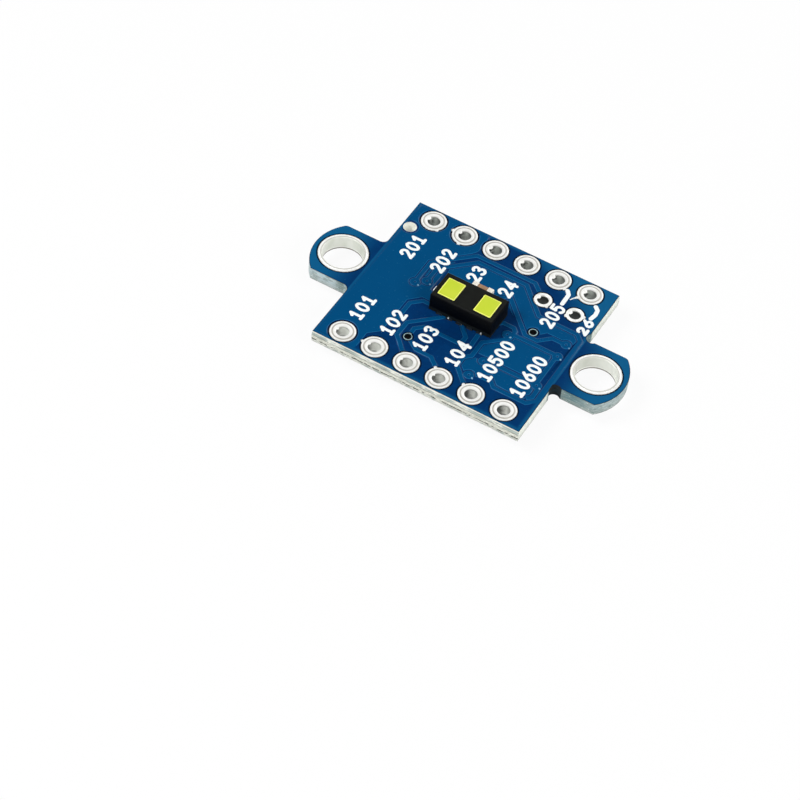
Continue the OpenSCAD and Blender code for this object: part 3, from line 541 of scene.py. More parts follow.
def tin_finish(f):
    pool = f.noise(2.2, 3.0)
    ear = abs(f.x).rise(BODY_HALF.x, BODY_HALF.x + 0.1)
    from_bore = f.outside(BORE_RADII)
    lip = (1 - ear) * f.z.rise(BOARD_TOP - 0.1, BOARD_TOP - 0.02)
    inside = (from_bore - ear * 0.11).fall(0.004, 0.02) * (1 - lip)
    seam = abs(f.from_pins() - 0.74).fall(0.025, 0.08) * (1 - ear)
    # The open vias are painted black inside, as painted shade in their bores, within a thin bright ring
    from_via = f.nearest(*VIA_PLACES)
    via = from_via.fall(0.4, 0.45)
    face = f.layered(
        settings("sensor_metal").tin,
        (pool.rise(0.45, 0.75) * 0.3, srgb(222, 223, 212)),
        (seam * (0.5 + 0.4 * f.noise(2.4)), srgb(148, 140, 126)),
        (via, f.mix(from_via.rise(0.262, 0.274), srgb(2, 12, 16), srgb(186, 220, 224))),
    )
    # Painted light and shade: the barrels are painted dark inside, darkest at their left and lit towards their
    # right, the far ones darker than the near ones, and darker at their ends
    far_row = f.y.rise(-1, 1)
    up = (abs(f.y) - PIN_ROW) * (far_row * 2 - 1)
    across = f.column() * 0.86 + up * 0.5
    blots = f.noise(3.2) - 0.5
    along = f.x.rise(-7, 7)
    near = (across + blots * 0.5 - along * 0.24).rise(-0.52, 0.08)
    near = near * (1 - across.rise(0.22, 0.42) * 0.55 * along)
    far = (across + blots).rise(-0.4, 0.2) * (1 - across.rise(0.12, 0.4) * 0.7)
    ends = 1 - f.z.rise(0.04, 0.2) * f.z.fall(BOARD_TOP - 0.16, BOARD_TOP - 0.08)
    # The ears' wide barrels are pale, painted in shade on their side towards the board, with a grey line under
    # the land and a bright one above the lower rim
    streaks = f.noise(1.0, 3.0, (1.0, 1.0, 0.4))
    hoop = f.layered(
        srgb(230, 234, 222),
        (streaks.rise(0.3, 0.7), srgb(246, 248, 240)),
        (abs(f.x).fall(8.7, 10.4) * 0.5, srgb(186, 188, 176)),
        (f.z.fall(0.14, 0.18) * f.z.rise(0.05, 0.09), srgb(252, 252, 246)),
        (f.z.fall(0.02, 0.06), srgb(110, 104, 94)),
        (from_bore.rise(0.01, 0.05), srgb(214, 214, 206)),
    )
    barrel = f.layered(
        srgb(52, 56, 50),
        (near, srgb(252, 254, 246)),
        (far_row, f.mix(far, srgb(24, 32, 30), srgb(206, 212, 204))),
        (ends * 0.6, srgb(44, 50, 46)),
        (via, srgb(4, 10, 14)),
        (ear, hoop),
    )
    walls = f.round_walls(up, inside * f.from_pins().fall(0.5, 0.55))
    return f.set(
        Base_Color=f.mix(inside, face, barrel),
        Metallic=0.18 + 0.2 * (pool - 0.4),
        Roughness=0.42 + 0.16 * (pool - 0.5),
        Normal=f.relief(pool + f.noise(18.0, 3.0) * 0.1, 0.014, Normal=walls),
    )


def joint_finish(f):
    """Flat joints painted dark as painted shade under the sensor, with a painted glint on three of them and the
    left one.
    """
    pool = f.noise(7.0, 3.0)
    glint = f.nearest(*LIT_JOINTS).fall(0.04, 0.08).larger(f.x.fall(-2.46, -2.42))
    return f.set(
        Base_Color=f.layered(
            srgb(20, 26, 32), (pool.rise(0.4, 0.6), srgb(36, 44, 50)), (glint, srgb(226, 230, 228))
        ),
        Metallic=0.3,
        Roughness=0.5 - 0.2 * glint,
        Normal=f.relief(pool, 0.01),
    )


def copper_finish(f):
    s = settings("sensor_metal")
    tarnish = f.noise(2.5, 4.0).rise(0.45, 0.7)
    # Tin covers all copper that the lacquer leaves open
    parts = abs(f.x).fall(2.8, 2.9) * abs(f.y - 0.5).fall(2.3, 2.4)
    tinned = f.outside(LAND_RADII).fall(0.24, 0.28).larger(parts)
    # The pads under the sensor are painted dark and not metallic, as painted shade under it
    under = abs(f.x).fall(2.4, 2.42) * abs(f.y + 0.6).fall(1.0, 1.1) * f.z.rise(0.9, 0.95)
    return f.set(
        Base_Color=f.layered(
            s.copper, (tarnish * 0.5, srgb(150, 96, 70)), (tinned, s.tin), (under, srgb(12, 22, 34))
        ),
        Metallic=1 - under,
        Roughness=0.3 + 0.2 * tarnish,
        Normal=f.relief(f.noise(20.0), 0.004),
    )


def solder_finish(f):
    tin = settings("sensor_metal").tin
    return f.clouded(
        f.noise(6.0, 3.0), tin, srgb(176, 178, 180), (0.4, 0.7, 0.4), (0.22, 0.18), 0.015, Metallic=1.0
    )


def lead_finish(f):
    drawn = f.noise(4.0, 3.0, (8.0, 1.0, 1.0))
    lead = settings("sensor_metal").lead
    return f.clouded(drawn, lead, srgb(170, 170, 168), (0.4, 0.7, 0.3), (0.32, 0.12), 0.006, Metallic=1.0)


def terminal_finish(f):
    cap = settings("sensor_metal").terminal
    return f.clouded(
        f.noise(7.0, 3.0), cap, srgb(206, 198, 182), (0.46, 0.66, 0.45), (0.46, 0.14), 0.01, Metallic=0.35
    )


def silicon_finish(f):
    return f.clouded(
        f.noise(8.0), srgb(92, 94, 102), srgb(70, 74, 92), (0.4, 0.6, 1.0), (0.2, 0.1), 0.003, Metallic=0.6
    )


def substrate_finish(f):
    plies = f.noise(1.0, 3.0, (1.5, 1.5, 22.0))
    return f.clouded(
        plies, srgb(5, 8, 7), srgb(14, 20, 16), (0.35, 0.65, 1.0), (0.6, 0.0), 0.012, Specular_IOR_Level=0.25
    )


def housing_finish(f):
    wear_and_sheen = f.noise(1.4, 3.0).rise(0.4, 0.75)
    high = corners("sensor_cap")[1].z
    # Painted light: the cap's top face is painted grey over the black of its sides, in patches of wear and
    # sheen
    top = f.z.rise(high - 0.06, high - 0.01)
    return f.set(
        Base_Color=f.mix(top * (0.65 + 0.35 * wear_and_sheen), settings("sensor_package").housing, srgb(26, 28, 25)),
        Roughness=0.56 + 0.1 * wear_and_sheen,
        Specular_IOR_Level=0.1,
        Normal=f.relief(f.noise(22.0, 3.0), 0.008),
    )


def window_finish(f):
    s = settings("sensor_package")
    low, high = corners("receiver_window")
    half, centre = (high - low) / 2, (high + low) / 2
    # A painted highlight: the pale rim round each filter, where light catches its bevelled edge
    to_rim = (half.x - abs(abs(f.x) - centre.x)).smaller(half.y - abs(f.y - centre.y))
    haze = f.noise(1.2, 3.0)
    return f.set(
        Base_Color=f.layered(
            s.window,
            (haze.rise(0.35, 0.7) * 0.5, srgb(206, 216, 66)),
            (to_rim.fall(s.rim_width / MM * 0.7, s.rim_width / MM * 1.25), s.rim),
        ),
        Roughness=0.34 + 0.1 * haze,
        Normal=f.relief(f.noise(16.0), 0.003),
        IOR=1.5,
    )


def ceramic_finish(f):
    grain = f.noise(14.0, 4.0)
    return f.set(
        Base_Color=f.layered(
            settings("sensor_chips").ceramic,
            (grain.rise(0.35, 0.65) * 0.45, srgb(128, 94, 68)),
            (f.noise(3.0).rise(0.4, 0.7) * 0.3, srgb(196, 164, 134)),
        ),
        Roughness=0.55,
        Normal=f.relief(grain, 0.012),
    )


def resistor_finish(f):
    """White alumina with a dark coat, which lies on the side turned away from the board."""
    low = corners("resistor_1_body")[0].z
    coat = f.z.fall(low + 0.05, low + 0.09)
    grain = f.noise(12.0, 3.0)
    return f.set(
        Base_Color=f.layered(
            srgb(226, 226, 220),
            (grain.rise(0.4, 0.7) * 0.4, srgb(196, 196, 190)),
            (coat, settings("sensor_chips").resistor),
        ),
        Roughness=0.55 - 0.2 * coat,
        Normal=f.relief(grain, 0.008),
    )


def moulding_finish(f):
    grain = f.noise(18.0, 4.0)
    flow = f.noise(1.2, 3.0).rise(0.4, 0.7)
    return f.set(
        Base_Color=f.mix(flow * 0.4, settings("sensor_chips").moulding, srgb(38, 38, 40)),
        Roughness=0.58 + 0.1 * grain,
        Normal=f.relief(grain, 0.014),
    )


# The record's material slots, each with its material's name and what lays it out
FINISHES = {
    "laminate": ("glass_epoxy", laminate_finish),
    "copper": ("bare_copper", copper_finish),
    "solder_mask": ("blue_lacquer", mask_finish),
    "legend_ink": ("white_ink", ink_finish),
    "tinned_copper": ("levelled_tin", tin_finish),
    "sensor_housing": ("black_housing", housing_finish),
    "sensor_window": ("yellow_filter", window_finish),
    "sensor_substrate": ("dark_substrate", substrate_finish),
    "silicon": ("bare_silicon", silicon_finish),
    "capacitor_ceramic": ("brown_ceramic", ceramic_finish),
    "resistor_ceramic": ("coated_alumina", resistor_finish),
    "terminal_metal": ("tinned_terminal", terminal_finish),
    "moulding": ("black_moulding", moulding_finish),
    "lead_metal": ("tinned_lead", lead_finish),
    "solder": ("bright_solder", solder_finish),
}


def finished(name, build):
    """The named material, built once."""
    return bpy.data.materials.get(name) or build(Finish(name))


def paint(*nodes):
    """Gives CAD nodes the finish of their material slot in the record."""
    slots = {part["node"]: part["material_slot"] for part in frame["record"]["subparts"]}
    for node in nodes:
        if not NODES[node].material_slots:
            raise RuntimeError("%s has no material slot" % node)
        for entry in NODES[node].material_slots:
            entry.material = finished(*FINISHES[slots[node]])


# ---------------------------------------------------------------- shapes


def merged(*nodes):
    """The joined mesh of some CAD nodes, with its loose triangles merged."""
    shape = bmesh.new()
    for node in nodes:
        shape.from_mesh(NODES[node].data)
    bmesh.ops.remove_doubles(shape, verts=shape.verts, dist=1e-7)
    return shape


def linked(name, data):
    """A new object at the origin, in place of an older one of its name."""
    old = bpy.data.objects.get(name)
    if old:
        bpy.data.objects.remove(old)
    piece = bpy.data.objects.new(name, data)
    bpy.context.scene.collection.objects.link(piece)
    return piece


def added(name, shape):
    """A new object with a bmesh's shape."""
    mesh = bpy.data.meshes.new(name)
    shape.to_mesh(mesh)
    shape.free()
    return linked(name, mesh)


def marked(name, points, edges, mark, kind, values):
    """A new object of points and edges, with a value of its own at each point."""
    mesh = bpy.data.meshes.new(name)
    mesh.from_pydata(points, edges, [])
    mesh.attributes.new(mark, kind, "POINT").data.foreach_set("value", values)
    return linked(name, mesh)


def smooth(piece):
    for face in piece.data.polygons:
        face.use_smooth = True
    return piece


def settled(piece):
    """The piece with its modifiers worked into a plain mesh."""
    graph = bpy.context.evaluated_depsgraph_get()
    graph.update()
    mesh = bpy.data.meshes.new_from_object(piece.evaluated_get(graph))
    piece.modifiers.clear()
    old = piece.data
    piece.data = mesh
    bpy.data.meshes.remove(old)
    mesh.name = piece.name
    return piece


def hand_over(piece, slot, *nodes):
    """Gives a finished piece its material, and hides the CAD nodes it stands for, which get theirs too."""
    piece.data.materials.clear()
    piece.data.materials.append(finished(*FINISHES[slot]))
    for face in piece.data.polygons:
        face.material_index = 0
    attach(piece, "root")
    if nodes:
        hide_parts(*nodes)
    paint(*nodes)
    return piece


def softened(name, slot, nodes, width, segments=2, angle=30):
    """One piece with rounded edges in place of some CAD nodes."""
    piece = added(name, merged(*nodes))
    bevel = piece.modifiers.new("rounding", "BEVEL")
    bevel.width = width
    bevel.segments = segments
    bevel.limit_method = "ANGLE"
    bevel.angle_limit = math.radians(angle)
    bevel.harden_normals = True
    bevel.miter_outer = "MITER_SHARP"
    return hand_over(settled(smooth(piece)), slot, *nodes)


def key_of(vertex):
    return (round(vertex.co.x * 1e7), round(vertex.co.y * 1e7))


def run_out_mask(node, side, width):
    """A copy of a mask whose upright steps beside the copper become rounded shoulders."""
    shape = merged(node)
    face_z = BOARD_TOP if side > 0 else 0.0
    low = (face_z + side * MASK_T) * MM
    high = (face_z + side * (MASK_T + COPPER_T)) * MM

    def level(vertex):
        if abs(vertex.co.z - low) < 2e-6:
            return 0
        return 1 if abs(vertex.co.z - high) < 2e-6 else None

    def upright():
        """Walls between the two levels."""
        shape.normal_update()
        return [
            f for f in shape.faces
            if abs(f.normal.z) < 0.05 and {level(v) for v in f.verts} == {0, 1}
        ]

    def rising(walls):
        """Edges of walls that run from one level to the other."""
        return [e for e in {e for f in walls for e in f.edges} if level(e.verts[0]) != level(e.verts[1])]

    slanted = [e for e in rising(upright()) if key_of(e.verts[0]) != key_of(e.verts[1])]
    bmesh.ops.dissolve_edges(shape, edges=slanted, use_verts=False)
    walls = upright()
    columns = {}
    for face in walls:
        for vertex in face.verts:
            columns.setdefault(key_of(vertex), []).append(face.normal.copy())
    for key, normals in columns.items():
        first = normals[0]
        other = min(normals, key=first.dot)
        turn = max(first.dot(other), -0.3)
        columns[key] = (first + other) / (1 + turn) if other is not first else first
    bmesh.ops.subdivide_edges(shape, edges=rising(walls), cuts=2, use_grid_fill=True)
    # How far out and how high each point of a shoulder goes, from its foot to its crest
    profile = {0: (1.0, 0.0), 1: (0.55, 0.3), 2: (0.12, 0.78), 3: (-0.2, 1.0)}
    for vertex in shape.verts:
        along = (vertex.co.z - low) / (high - low)
        if key_of(vertex) in columns and -0.01 < along < 1.01:
            reach, rise = profile[round(along * 3)]
            vertex.co += columns[key_of(vertex)] * reach * width
            vertex.co.z = low + (high - low) * rise
    shape.normal_update()
    for face in shape.faces:
        heights = [(v.co.z - low) / (high - low) for v in face.verts]
        face.smooth = 0.05 < abs(face.normal.z) < 0.995 and min(heights) > -0.01 and max(heights) < 1.01
    return shape


def torn_board(depth):
    """A copy of the laminate whose snapped web is torn instead of flat."""
    shape = merged("board_laminate")
    rim_band, web_band = SCORE_DEPTH + 0.001, 0.01

    def in_band(vertex, band):
        return abs(vertex.co.y) > (BOARD_HIGH.y - band) * MM

    def divide(band, cuts, chosen):
        """Cuts the edges in a band whose run is chosen."""
        edges = [
            e for e in shape.edges
            if all(in_band(v, band) for v in e.verts) and chosen(e.verts[0].co - e.verts[1].co)
        ]
        bmesh.ops.subdivide_edges(shape, edges=edges, cuts=cuts, use_grid_fill=True)

    rim = {f for f in shape.faces if all(in_band(v, rim_band) for v in f.verts) and abs(f.normal.z) < 0.95}
    inner = [
        e for e in {e for f in rim for e in f.edges}
        if len(e.link_faces) == 2 and rim.issuperset(e.link_faces) and e.calc_face_angle() < 0.01
    ]
    bmesh.ops.dissolve_edges(shape, edges=inner, use_verts=False)
    divide(rim_band, 150, lambda run: abs(run.x) > 2 * MM and abs(run.z) < 1e-6)
    divide(web_band, 6, lambda run: abs(run.z) > 0.2 * MM)
    for vertex in shape.verts:
        if in_band(vertex, web_band):
            at = vertex.co / MM
            torn = noise.fractal(Vector((at.x * 3.1, at.y, at.z * 9.0)), 0.6, 2.0, 4)
            fine = noise.noise(Vector((at.x * 17.0, at.y, at.z * 21.0)))
            bite = min(max(0.45 + 0.45 * torn + 0.3 * fine, 0.0), 1.0)
            vertex.co.y -= math.copysign(bite * depth, vertex.co.y)
            vertex.co.z += 0.018 * MM * noise.noise(Vector((at.x * 6.0, 5.0, at.z * 6.0)))
    return shape


# ---------------------------------------------------------------- printed strokes and solder lumps


def bend(x, y, wide, high, start, end, steps):
    """Points of an arc round a middle, with its two radii, and its angles in degrees."""
    angles = [math.radians(start + (end - start) * i / steps) for i in range(steps + 1)]
    return [(x + wide * math.cos(a), y + high * math.sin(a)) for a in angles]


# Strokes of the plain digits, in a box one unit wide and one unit high
DIGITS = {
    "0": [bend(0.5, 0.5, 0.5, 0.5, 90, 450, 20)],
    "1": [[(0.12, 0.76), (0.52, 1.0), (0.52, 0.0)], [(0.12, 0.0), (0.92, 0.0)]],
    "2": [bend(0.5, 0.72, 0.46, 0.28, 165, -35, 10) + [(0.04, 0.0), (1.0, 0.0)]],
    "3": [bend(0.46, 0.76, 0.44, 0.24, 150, -90, 10) + bend(0.46, 0.26, 0.5, 0.26, 90, -150, 11)],
    "4": [[(0.78, 0.0), (0.78, 1.0), (0.0, 0.3), (1.0, 0.3)]],
    "5": [[(0.92, 1.0), (0.14, 1.0), (0.08, 0.58)] + bend(0.46, 0.33, 0.5, 0.33, 110, -150, 12)],
    "6": [[(0.8, 1.0)] + bend(0.5, 0.33, 0.48, 0.33, 150, 510, 16)],
    "7": [[(0.0, 1.0), (1.0, 1.0), (0.38, 0.0)]],
    "8": [bend(0.5, 0.76, 0.4, 0.24, -90, 270, 12) + bend(0.5, 0.26, 0.5, 0.26, 90, 450, 14)],
    "9": [bend(0.5, 0.67, 0.48, 0.33, -30, 330, 16) + [(0.2, 0.0)]],
}


def number_strokes(number, x, y, height, s):
    """Lines of a number that reads towards +Y, with its first digit starting at y, centred on x."""
    tall = height - s.stroke
    wide = s.advance - s.stroke - 0.1 * MM
    return [
        [(x + tall * (0.5 - v), y + s.stroke / 2 + place * s.advance + wide * u) for u, v in line]
        for place, digit in enumerate(number)
        for line in DIGITS[digit]
    ]


def ink_strokes(node, given):
    """Round-ended strokes along edges, with domes at the marked corners."""
    half = node("ShaderNodeMath", {0: given["Stroke Width"], 1: 0.5}, operation="MULTIPLY")
    flat = node("ShaderNodeMath", {0: given["Ink Thickness"], 1: half}, operation="DIVIDE")
    line = node("GeometryNodeMeshToCurve", {"Mesh": given["Geometry"]})
    fine = node("GeometryNodeResampleCurve", {"Curve": line, "Length": given["Step"]}, mode="LENGTH")
    upright = node("GeometryNodeSetCurveNormal", {"Curve": fine}, mode="Z_UP")
    ring = node("GeometryNodeCurvePrimitiveCircle", {"Resolution": 12, "Radius": half})
    scale = node("ShaderNodeCombineXYZ", {"X": 1.0, "Y": flat, "Z": 1.0})
    lens = node("GeometryNodeTransform", {"Geometry": ring, "Scale": scale})
    ribbon = node("GeometryNodeCurveToMesh", {"Curve": upright, "Profile Curve": lens})
    ball = node("GeometryNodeMeshUVSphere", {"Segments": 14, "Rings": 7, "Radius": half})
    scale = node("ShaderNodeCombineXYZ", {"X": 1.0, "Y": 1.0, "Z": flat})
    dome = node("GeometryNodeTransform", {"Geometry": ball, "Scale": scale})
    corner = node("GeometryNodeInputNamedAttribute", {"Name": "corner"}, data_type="BOOLEAN")
    spots = node("GeometryNodeMeshToPoints", {"Mesh": given["Geometry"], "Selection": corner})
    domes = node("GeometryNodeInstanceOnPoints", {"Points": spots, "Instance": dome})
    joined = node("GeometryNodeJoinGeometry", {0: ribbon})
    feed(joined.node.inputs[0], domes)
    return joined


def solder_lumps(node, given):
    """A solder lump on every point, as large as the point's own size says."""
    ball = node("GeometryNodeMeshIcoSphere", {"Radius": 1.0, "Subdivisions": 4})
    scale = node("ShaderNodeCombineXYZ", {"X": 1.0, "Y": 1.0, "Z": given["Height"]})
    lump = node("GeometryNodeTransform", {"Geometry": ball, "Scale": scale})
    size = node("GeometryNodeInputNamedAttribute", {"Name": "size"}, data_type="FLOAT")
    spots = node("GeometryNodeMeshToPoints", {"Mesh": given["Geometry"]})
    return node("GeometryNodeInstanceOnPoints", {"Points": spots, "Instance": lump, "Scale": size})


def new_tree(grow, numbers):
    """A Geometry Nodes tree with named number inputs around the shape that grow makes."""
    tree = bpy.data.node_groups.new(grow.__name__, "GeometryNodeTree")
    face = tree.interface
    face.new_socket("Geometry", in_out="INPUT", socket_type="NodeSocketGeometry")
    for label, default in numbers.items():
        face.new_socket(label, in_out="INPUT", socket_type="NodeSocketFloat").default_value = default
    face.new_socket("Material", in_out="INPUT", socket_type="NodeSocketMaterial")
    face.new_socket("Geometry", in_out="OUTPUT", socket_type="NodeSocketGeometry")

    def node(kind, sockets, **options):
        return add_node(tree, kind, sockets, **options).outputs[0]

    given = tree.nodes.new("NodeGroupInput").outputs
    real = node("GeometryNodeRealizeInstances", {"Geometry": grow(node, given)})
    made = node("GeometryNodeSetMaterial", {"Geometry": real, "Material": given["Material"]})
    add_node(tree, "NodeGroupOutput", {"Geometry": made})
    return tree


def socket_id(tree, name):
    """Identifier of a tree's named input."""
    for item in tree.interface.items_tree:
        if item.item_type == "SOCKET" and item.in_out == "INPUT" and item.name == name:
            return item.identifier
    raise RuntimeError("the tree %s has no input %s" % (tree.name, name))


def grown(piece, grow, slot, numbers):
    """The piece worked into a smooth plain mesh by the tree that grow lays out."""
    tree = bpy.data.node_groups.get(grow.__name__) or new_tree(grow, numbers)
    modifier = piece.modifiers.new("growth", "NODES")
    modifier.node_group = tree
    for label, value in (*numbers.items(), ("Material", finished(*FINISHES[slot]))):
        modifier[socket_id(tree, label)] = value
    return smooth(settled(piece))


def ink_piece(name, lines, width, thickness, slot="legend_ink", nodes=(), bare=None):
    """Strokes along open lines in metres, laid on the lacquer, or at the height bare where there is none."""
    lacquer = bpy.data.objects.get("run_out_top_solder_mask")
    if lacquer is None:
        raise RuntimeError("%s lies on the solder mask, which comes first" % name)
    points, edges, corner = [], [], []
    for line in lines:
        line = [at for i, at in enumerate(line) if i == 0 or math.dist(at, line[i - 1]) > 0.002 * MM]
        line = [Vector(at) for at in line]
        start, last = len(points), len(line) - 1
        points += [at.to_3d() for at in line]
        edges += [(start + i, start + i + 1) for i in range(last)]
        corner += [
            not 0 < i < last or (line[i + 1] - at).angle(at - line[i - 1]) > math.radians(32)
            for i, at in enumerate(line)
        ]
    numbers = {"Stroke Width": width, "Ink Thickness": thickness, "Step": 0.05 * MM}
    piece = grown(marked(name, points, edges, "corner", "BOOLEAN", corner), ink_strokes, slot, numbers)
    ground = BVHTree.FromPolygons(
        [v.co for v in lacquer.data.vertices], [tuple(p.vertices) for p in lacquer.data.polygons]
    )
    reach = 0.07 * MM
    for vertex in piece.data.vertices:
        above = [
            Vector((vertex.co.x + dx, vertex.co.y + dy, 3 * MM))
            for dx, dy in ((0, 0), (reach, 0), (-reach, 0), (0, reach), (0, -reach))
        ]
        hits = [ground.ray_cast(at, Vector((0, 0, -1)))[0] for at in above]
        top = max((hit.z for hit in hits if hit), default=bare)
        if top is None:
            raise RuntimeError("%s is printed where the board has no lacquer, at %s" % (name, vertex.co / MM))
        vertex.co.z += top + 0.003 * MM
    return hand_over(piece, slot, *nodes)


# ---------------------------------------------------------------- operators


class SENSOR_OT_board(bpy.types.Operator):
    """Tears the board's snapped edges and gives laminate and copper their finish"""

    bl_idname = "sensor_board.board"
    bl_label = "Board and Copper"

    def execute(self, context):
        board = added("torn_laminate", torn_board(settings("sensor_board").web_roughness))
        hand_over(board, "laminate", "board_laminate")
        paint("top_copper", "bottom_copper", "tented_via_barrels")
        return {"FINISHED"}


class SENSOR_OT_mask(bpy.types.Operator):
    """Runs the lacquer out beside the copper on both sides of the board"""

    bl_idname = "sensor_board.mask"
    bl_label = "Solder Mask"

    def execute(self, context):
        shoulder = settings("sensor_mask").shoulder
        for node, side in (("top_solder_mask", 1), ("bottom_solder_mask", -1)):
            hand_over(added("run_out_" + node, run_out_mask(node, side, shoulder)), "solder_mask", node)
        return {"FINISHED"}


class SENSOR_OT_numbers(bpy.types.Operator):
    """Prints the numbers beside the pins, the two leader lines and the tick"""

    bl_idname = "sensor_board.numbers"
    bl_label = "Printed Numbers"

    def execute(self, context):
        s = settings("sensor_print")
        lines = []
        for row, numbers, places in (("near", s.near, NEAR_NUMBERS), ("far", s.far, FAR_NUMBERS)):
            for i, (number, (shift, start)) in enumerate(zip(numbers.split(), places), 1):
                pin = "barrel_%s_%d" % (row, i)
                height = s.height * (LAST_NUMBER_HEIGHT if pin == "barrel_far_6" else 1)
                lines += number_strokes(number, (middle(pin).x + shift) * MM, start * MM, height, s)
        leaders = [
            [(middle(pin).xy + Vector(place)) * MM for place in places] for pin, places in LEADERS.items()
        ]
        tick = [Vector(place) * MM for place in TICK]
        ink_piece("printed_numbers", lines, s.stroke, s.thickness)
        ink_piece("printed_leaders", leaders, LEADER_W * MM, s.thickness, nodes=["top_legend"])
        ink_piece("printed_tick", [tick], TICK_W * MM, s.thickness)
        return {"FINISHED"}


class SENSOR_OT_eyelets(bpy.types.Operator):
    """Gives the plated holes their tin"""

    bl_idname = "sensor_board.eyelets"
    bl_label = "Plated Holes"

    def execute(self, context):
        paint(*EYELETS, "open_via_barrels")
        # Solder has run together at one side of most holes' rims
        spots, sizes = [], []
        for i, node in enumerate(EYELETS):
            if node.endswith(("ear", "near_5", "near_6")):
                continue
            number = int(node[-1])
            if "test" in node:
                place, bore = TEST_PLACES[number - 1], BORE_RADII[2]
            else:
                place = ((number - 3.5) * PIN_PITCH, PIN_ROW if "far" in node else -PIN_ROW)
                bore = BORE_RADII[0]
            chance = noise.noise(Vector((i * 3.7, 1.3, 0.5)))
            angle = math.radians(168 + 14 * chance)
            rim = Vector(place) + Vector((math.cos(angle), math.sin(angle))) * (bore - 0.01)
            spots.append(Vector((*rim, COPPER_TOP - 0.03)) * MM)
            sizes.append(((0.11 if "near" in node else 0.17) + 0.04 * chance) * MM)
        lumps = marked("solder_lumps", spots, [], "size", "FLOAT", sizes)
        hand_over(grown(lumps, solder_lumps, "tinned_copper", {"Height": 0.4}), "tinned_copper")
        pin = middle("barrel_far_6").xy
        for i, (share, width) in enumerate(TAIL_STEPS, 1):
            tail = [(pin + TAIL_ROOT) * MM, (pin + TAIL_ROOT.lerp(TAIL_TIP, share)) * MM]
            ink_piece(
                "tin_tail_%d" % i, [tail], width * MM, TAIL_T * MM, "tinned_copper", bare=MASK_TOP * MM
            )
        return {"FINISHED"}


class SENSOR_OT_sensor(bpy.types.Operator):
    """Rounds the sensor's moulded cap and its two filters"""

    bl_idname = "sensor_board.sensor"
    bl_label = "Sensor Package"

    def execute(self, context):
        windows = ["emitter_window", "receiver_window"]
        softened("moulded_cap", "sensor_housing", ["sensor_cap"], settings("sensor_package").edge, angle=40)
        softened("window_filters", "sensor_window", windows, 0.05 * MM, angle=40)
        paint("sensor_substrate", "emitter_die", "receiver_die")
        for entry in NODES["sensor_solder"].material_slots:
            entry.material = finished("flat_joint", joint_finish)
        return {"FINISHED"}


class SENSOR_OT_chips(bpy.types.Operator):
    """Rounds the ceramic bodies and end caps of the chip parts"""

    bl_idname = "sensor_board.chips"
    bl_label = "Chip Parts"

    def execute(self, context):
        rounding = settings("sensor_chips").rounding
        ends = [chip + "_ends" for chip in CAPACITORS + RESISTORS]
        softened("capacitor_bodies", "capacitor_ceramic", [c + "_body" for c in CAPACITORS], rounding * 0.8)
        softened("resistor_bodies", "resistor_ceramic", [r + "_body" for r in RESISTORS], rounding * 0.5)
        softened("end_caps", "terminal_metal", ends, rounding, 3)
        paint("chip_solder", "sensor_capacitor_solder")
        return {"FINISHED"}


class SENSOR_OT_packages(bpy.types.Operator):
    """Rounds the leaded packages under the board and their leads"""

    bl_idname = "sensor_board.packages"
    bl_label = "Leaded Packages"

    def execute(self, context):
        softened("moulded_bodies", "moulding", ["controller_body", "regulator_body"], 0.04 * MM)
        softened("formed_leads", "lead_metal", ["controller_leads", "regulator_leads"], 0.025 * MM)
        paint("controller_solder", "regulator_solder")
        return {"FINISHED"}


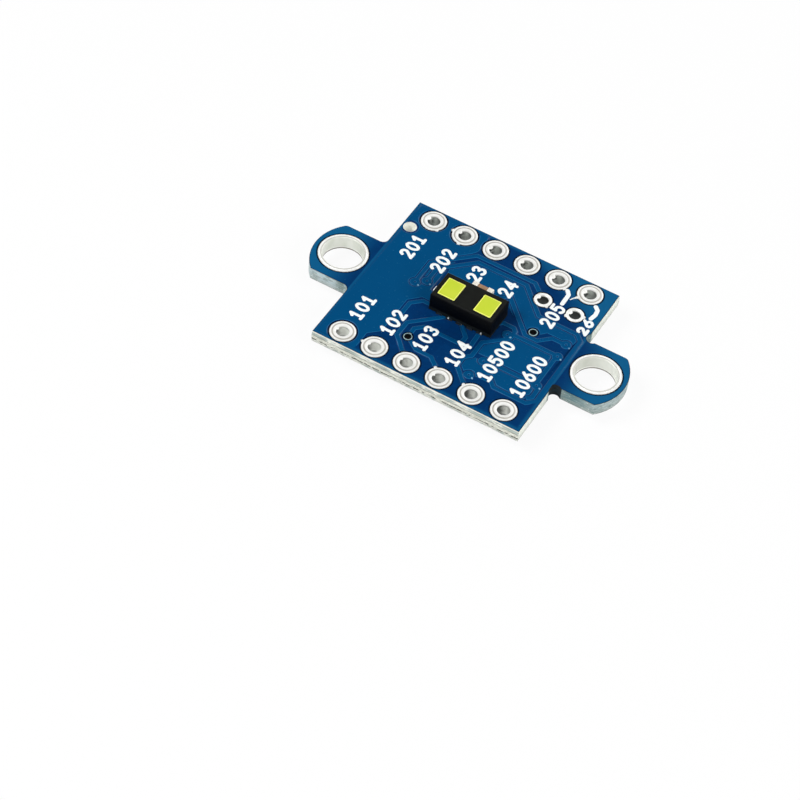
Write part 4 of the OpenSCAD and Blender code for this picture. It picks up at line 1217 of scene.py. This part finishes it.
class SENSOR_OT_stage(bpy.types.Operator):
    """Sets out the floor, the lamps, the surroundings and the camera"""

    bl_idname = "sensor_board.stage"
    bl_label = "Stage"

    def execute(self, context):
        s = settings("sensor_stage")
        scene = context.scene
        ground = bmesh.new()
        bmesh.ops.create_grid(ground, x_segments=2, y_segments=2, size=3.0)
        bmesh.ops.translate(ground, verts=ground.verts, vec=(0, 0, CAD_BOX[0][2]))
        floor = added("floor", ground)
        # Camera, mirror and glass see the floor nearly white, and it still takes shadows
        f = Finish("pale_floor")
        f.set(Base_Color=f.mix(f.noise(0.02), s.floor, [c * 0.97 for c in s.floor]), Roughness=0.9)
        white = f.node("ShaderNodeEmission", {"Color": (1, 1, 1), "Strength": 1.0}).outputs[0]
        rays = f.node("ShaderNodeLightPath").outputs
        seen = Value(f, rays["Is Camera Ray"])
        for kind in ("Glossy", "Transmission"):
            seen = seen.larger(Value(f, rays["Is %s Ray" % kind]))
        blend = f.node("ShaderNodeMixShader", {0: seen * 0.93, 1: f.shader.outputs[0], 2: white})
        feed(f.output.inputs["Surface"], blend.outputs[0])
        floor.data.materials.append(f.material)

        # The surroundings are bright at the horizon and dark overhead
        scene.world = bpy.data.worlds.new("studio")
        scene.world.use_nodes = True
        tree = scene.world.node_tree
        tree.nodes.clear()
        split = add_node(
            tree, "ShaderNodeSeparateXYZ", {0: add_node(tree, "ShaderNodeTexCoord").outputs["Generated"]}
        )
        fade = add_node(
            tree, "ShaderNodeMapRange", dict(enumerate((split.outputs["Z"], 0.16, 0.6, 0.9, 0.03))),
            interpolation_type="SMOOTHSTEP",
        )
        sky = add_node(tree, "ShaderNodeBackground", {"Strength": fade.outputs[0]})
        add_node(tree, "ShaderNodeOutputWorld", {"Surface": sky.outputs[0]})

        for name, place, size, power in (
            ("key", (-0.22, -0.18, 0.36), 0.22, s.key),
            ("fill", (0.34, -0.08, 0.26), 0.24, s.fill),
            ("far_veil", (0.06, 0.42, 0.30), 0.18, 0.5),
        ):
            light = bpy.data.lights.new(name, "AREA")
            light.size = size
            light.energy = power
            lamp = linked(name, light)
            lamp.location = place
            lamp.rotation_euler = (-Vector(place)).to_track_quat("-Z", "Y").to_euler()

        lens = bpy.data.cameras.new("camera")
        lens.lens = s.focal
        lens.sensor_width = 36
        lens.clip_start = 0.01
        lens.clip_end = 20
        turn = Matrix((CAMERA_RIGHT, CAMERA_UP, CAMERA_RIGHT.cross(CAMERA_UP))).transposed().to_4x4()
        scene.camera = linked("camera", lens)
        scene.camera.matrix_world = Matrix.Translation(CAMERA_PLACE * MM) @ turn
        scene.view_settings.view_transform = "Standard"
        return {"FINISHED"}


class SENSOR_PT_panel(bpy.types.Panel):
    """Lists the steps and their settings"""

    bl_idname = "SENSOR_PT_panel"
    bl_label = "Sensor Board"
    bl_space_type = "VIEW_3D"
    bl_region_type = "UI"
    bl_category = "Sensor Board"

    def draw(self, context):
        for operator, name, _ in STEPS:
            box = self.layout.box()
            box.operator(operator.bl_idname)
            if name:
                held = settings(name)
                for key in held.__annotations__:
                    box.prop(held, key)


# Each step's operator, and the name and kind of its settings
STEPS = (
    (SENSOR_OT_board, "sensor_board", BoardSettings),
    (SENSOR_OT_mask, "sensor_mask", MaskSettings),
    (SENSOR_OT_numbers, "sensor_print", PrintSettings),
    (SENSOR_OT_eyelets, "sensor_metal", MetalSettings),
    (SENSOR_OT_sensor, "sensor_package", SensorSettings),
    (SENSOR_OT_chips, "sensor_chips", PackageSettings),
    (SENSOR_OT_packages, None, None),
    (SENSOR_OT_stage, "sensor_stage", StageSettings),
)


def register():
    for operator, name, group in STEPS:
        if group:
            bpy.utils.register_class(group)
            setattr(bpy.types.Scene, name, bpy.props.PointerProperty(type=group))
        bpy.utils.register_class(operator)
    bpy.utils.register_class(SENSOR_PT_panel)


def unregister():
    bpy.utils.unregister_class(SENSOR_PT_panel)
    for operator, name, group in reversed(STEPS):
        bpy.utils.unregister_class(operator)
        if group:
            delattr(bpy.types.Scene, name)
            bpy.utils.unregister_class(group)


def main():
    register()
    for operator, *_ in STEPS:
        group, name = operator.bl_idname.split(".")
        getattr(getattr(bpy.ops, group), name)()


if __name__ == "__main__":
    main()
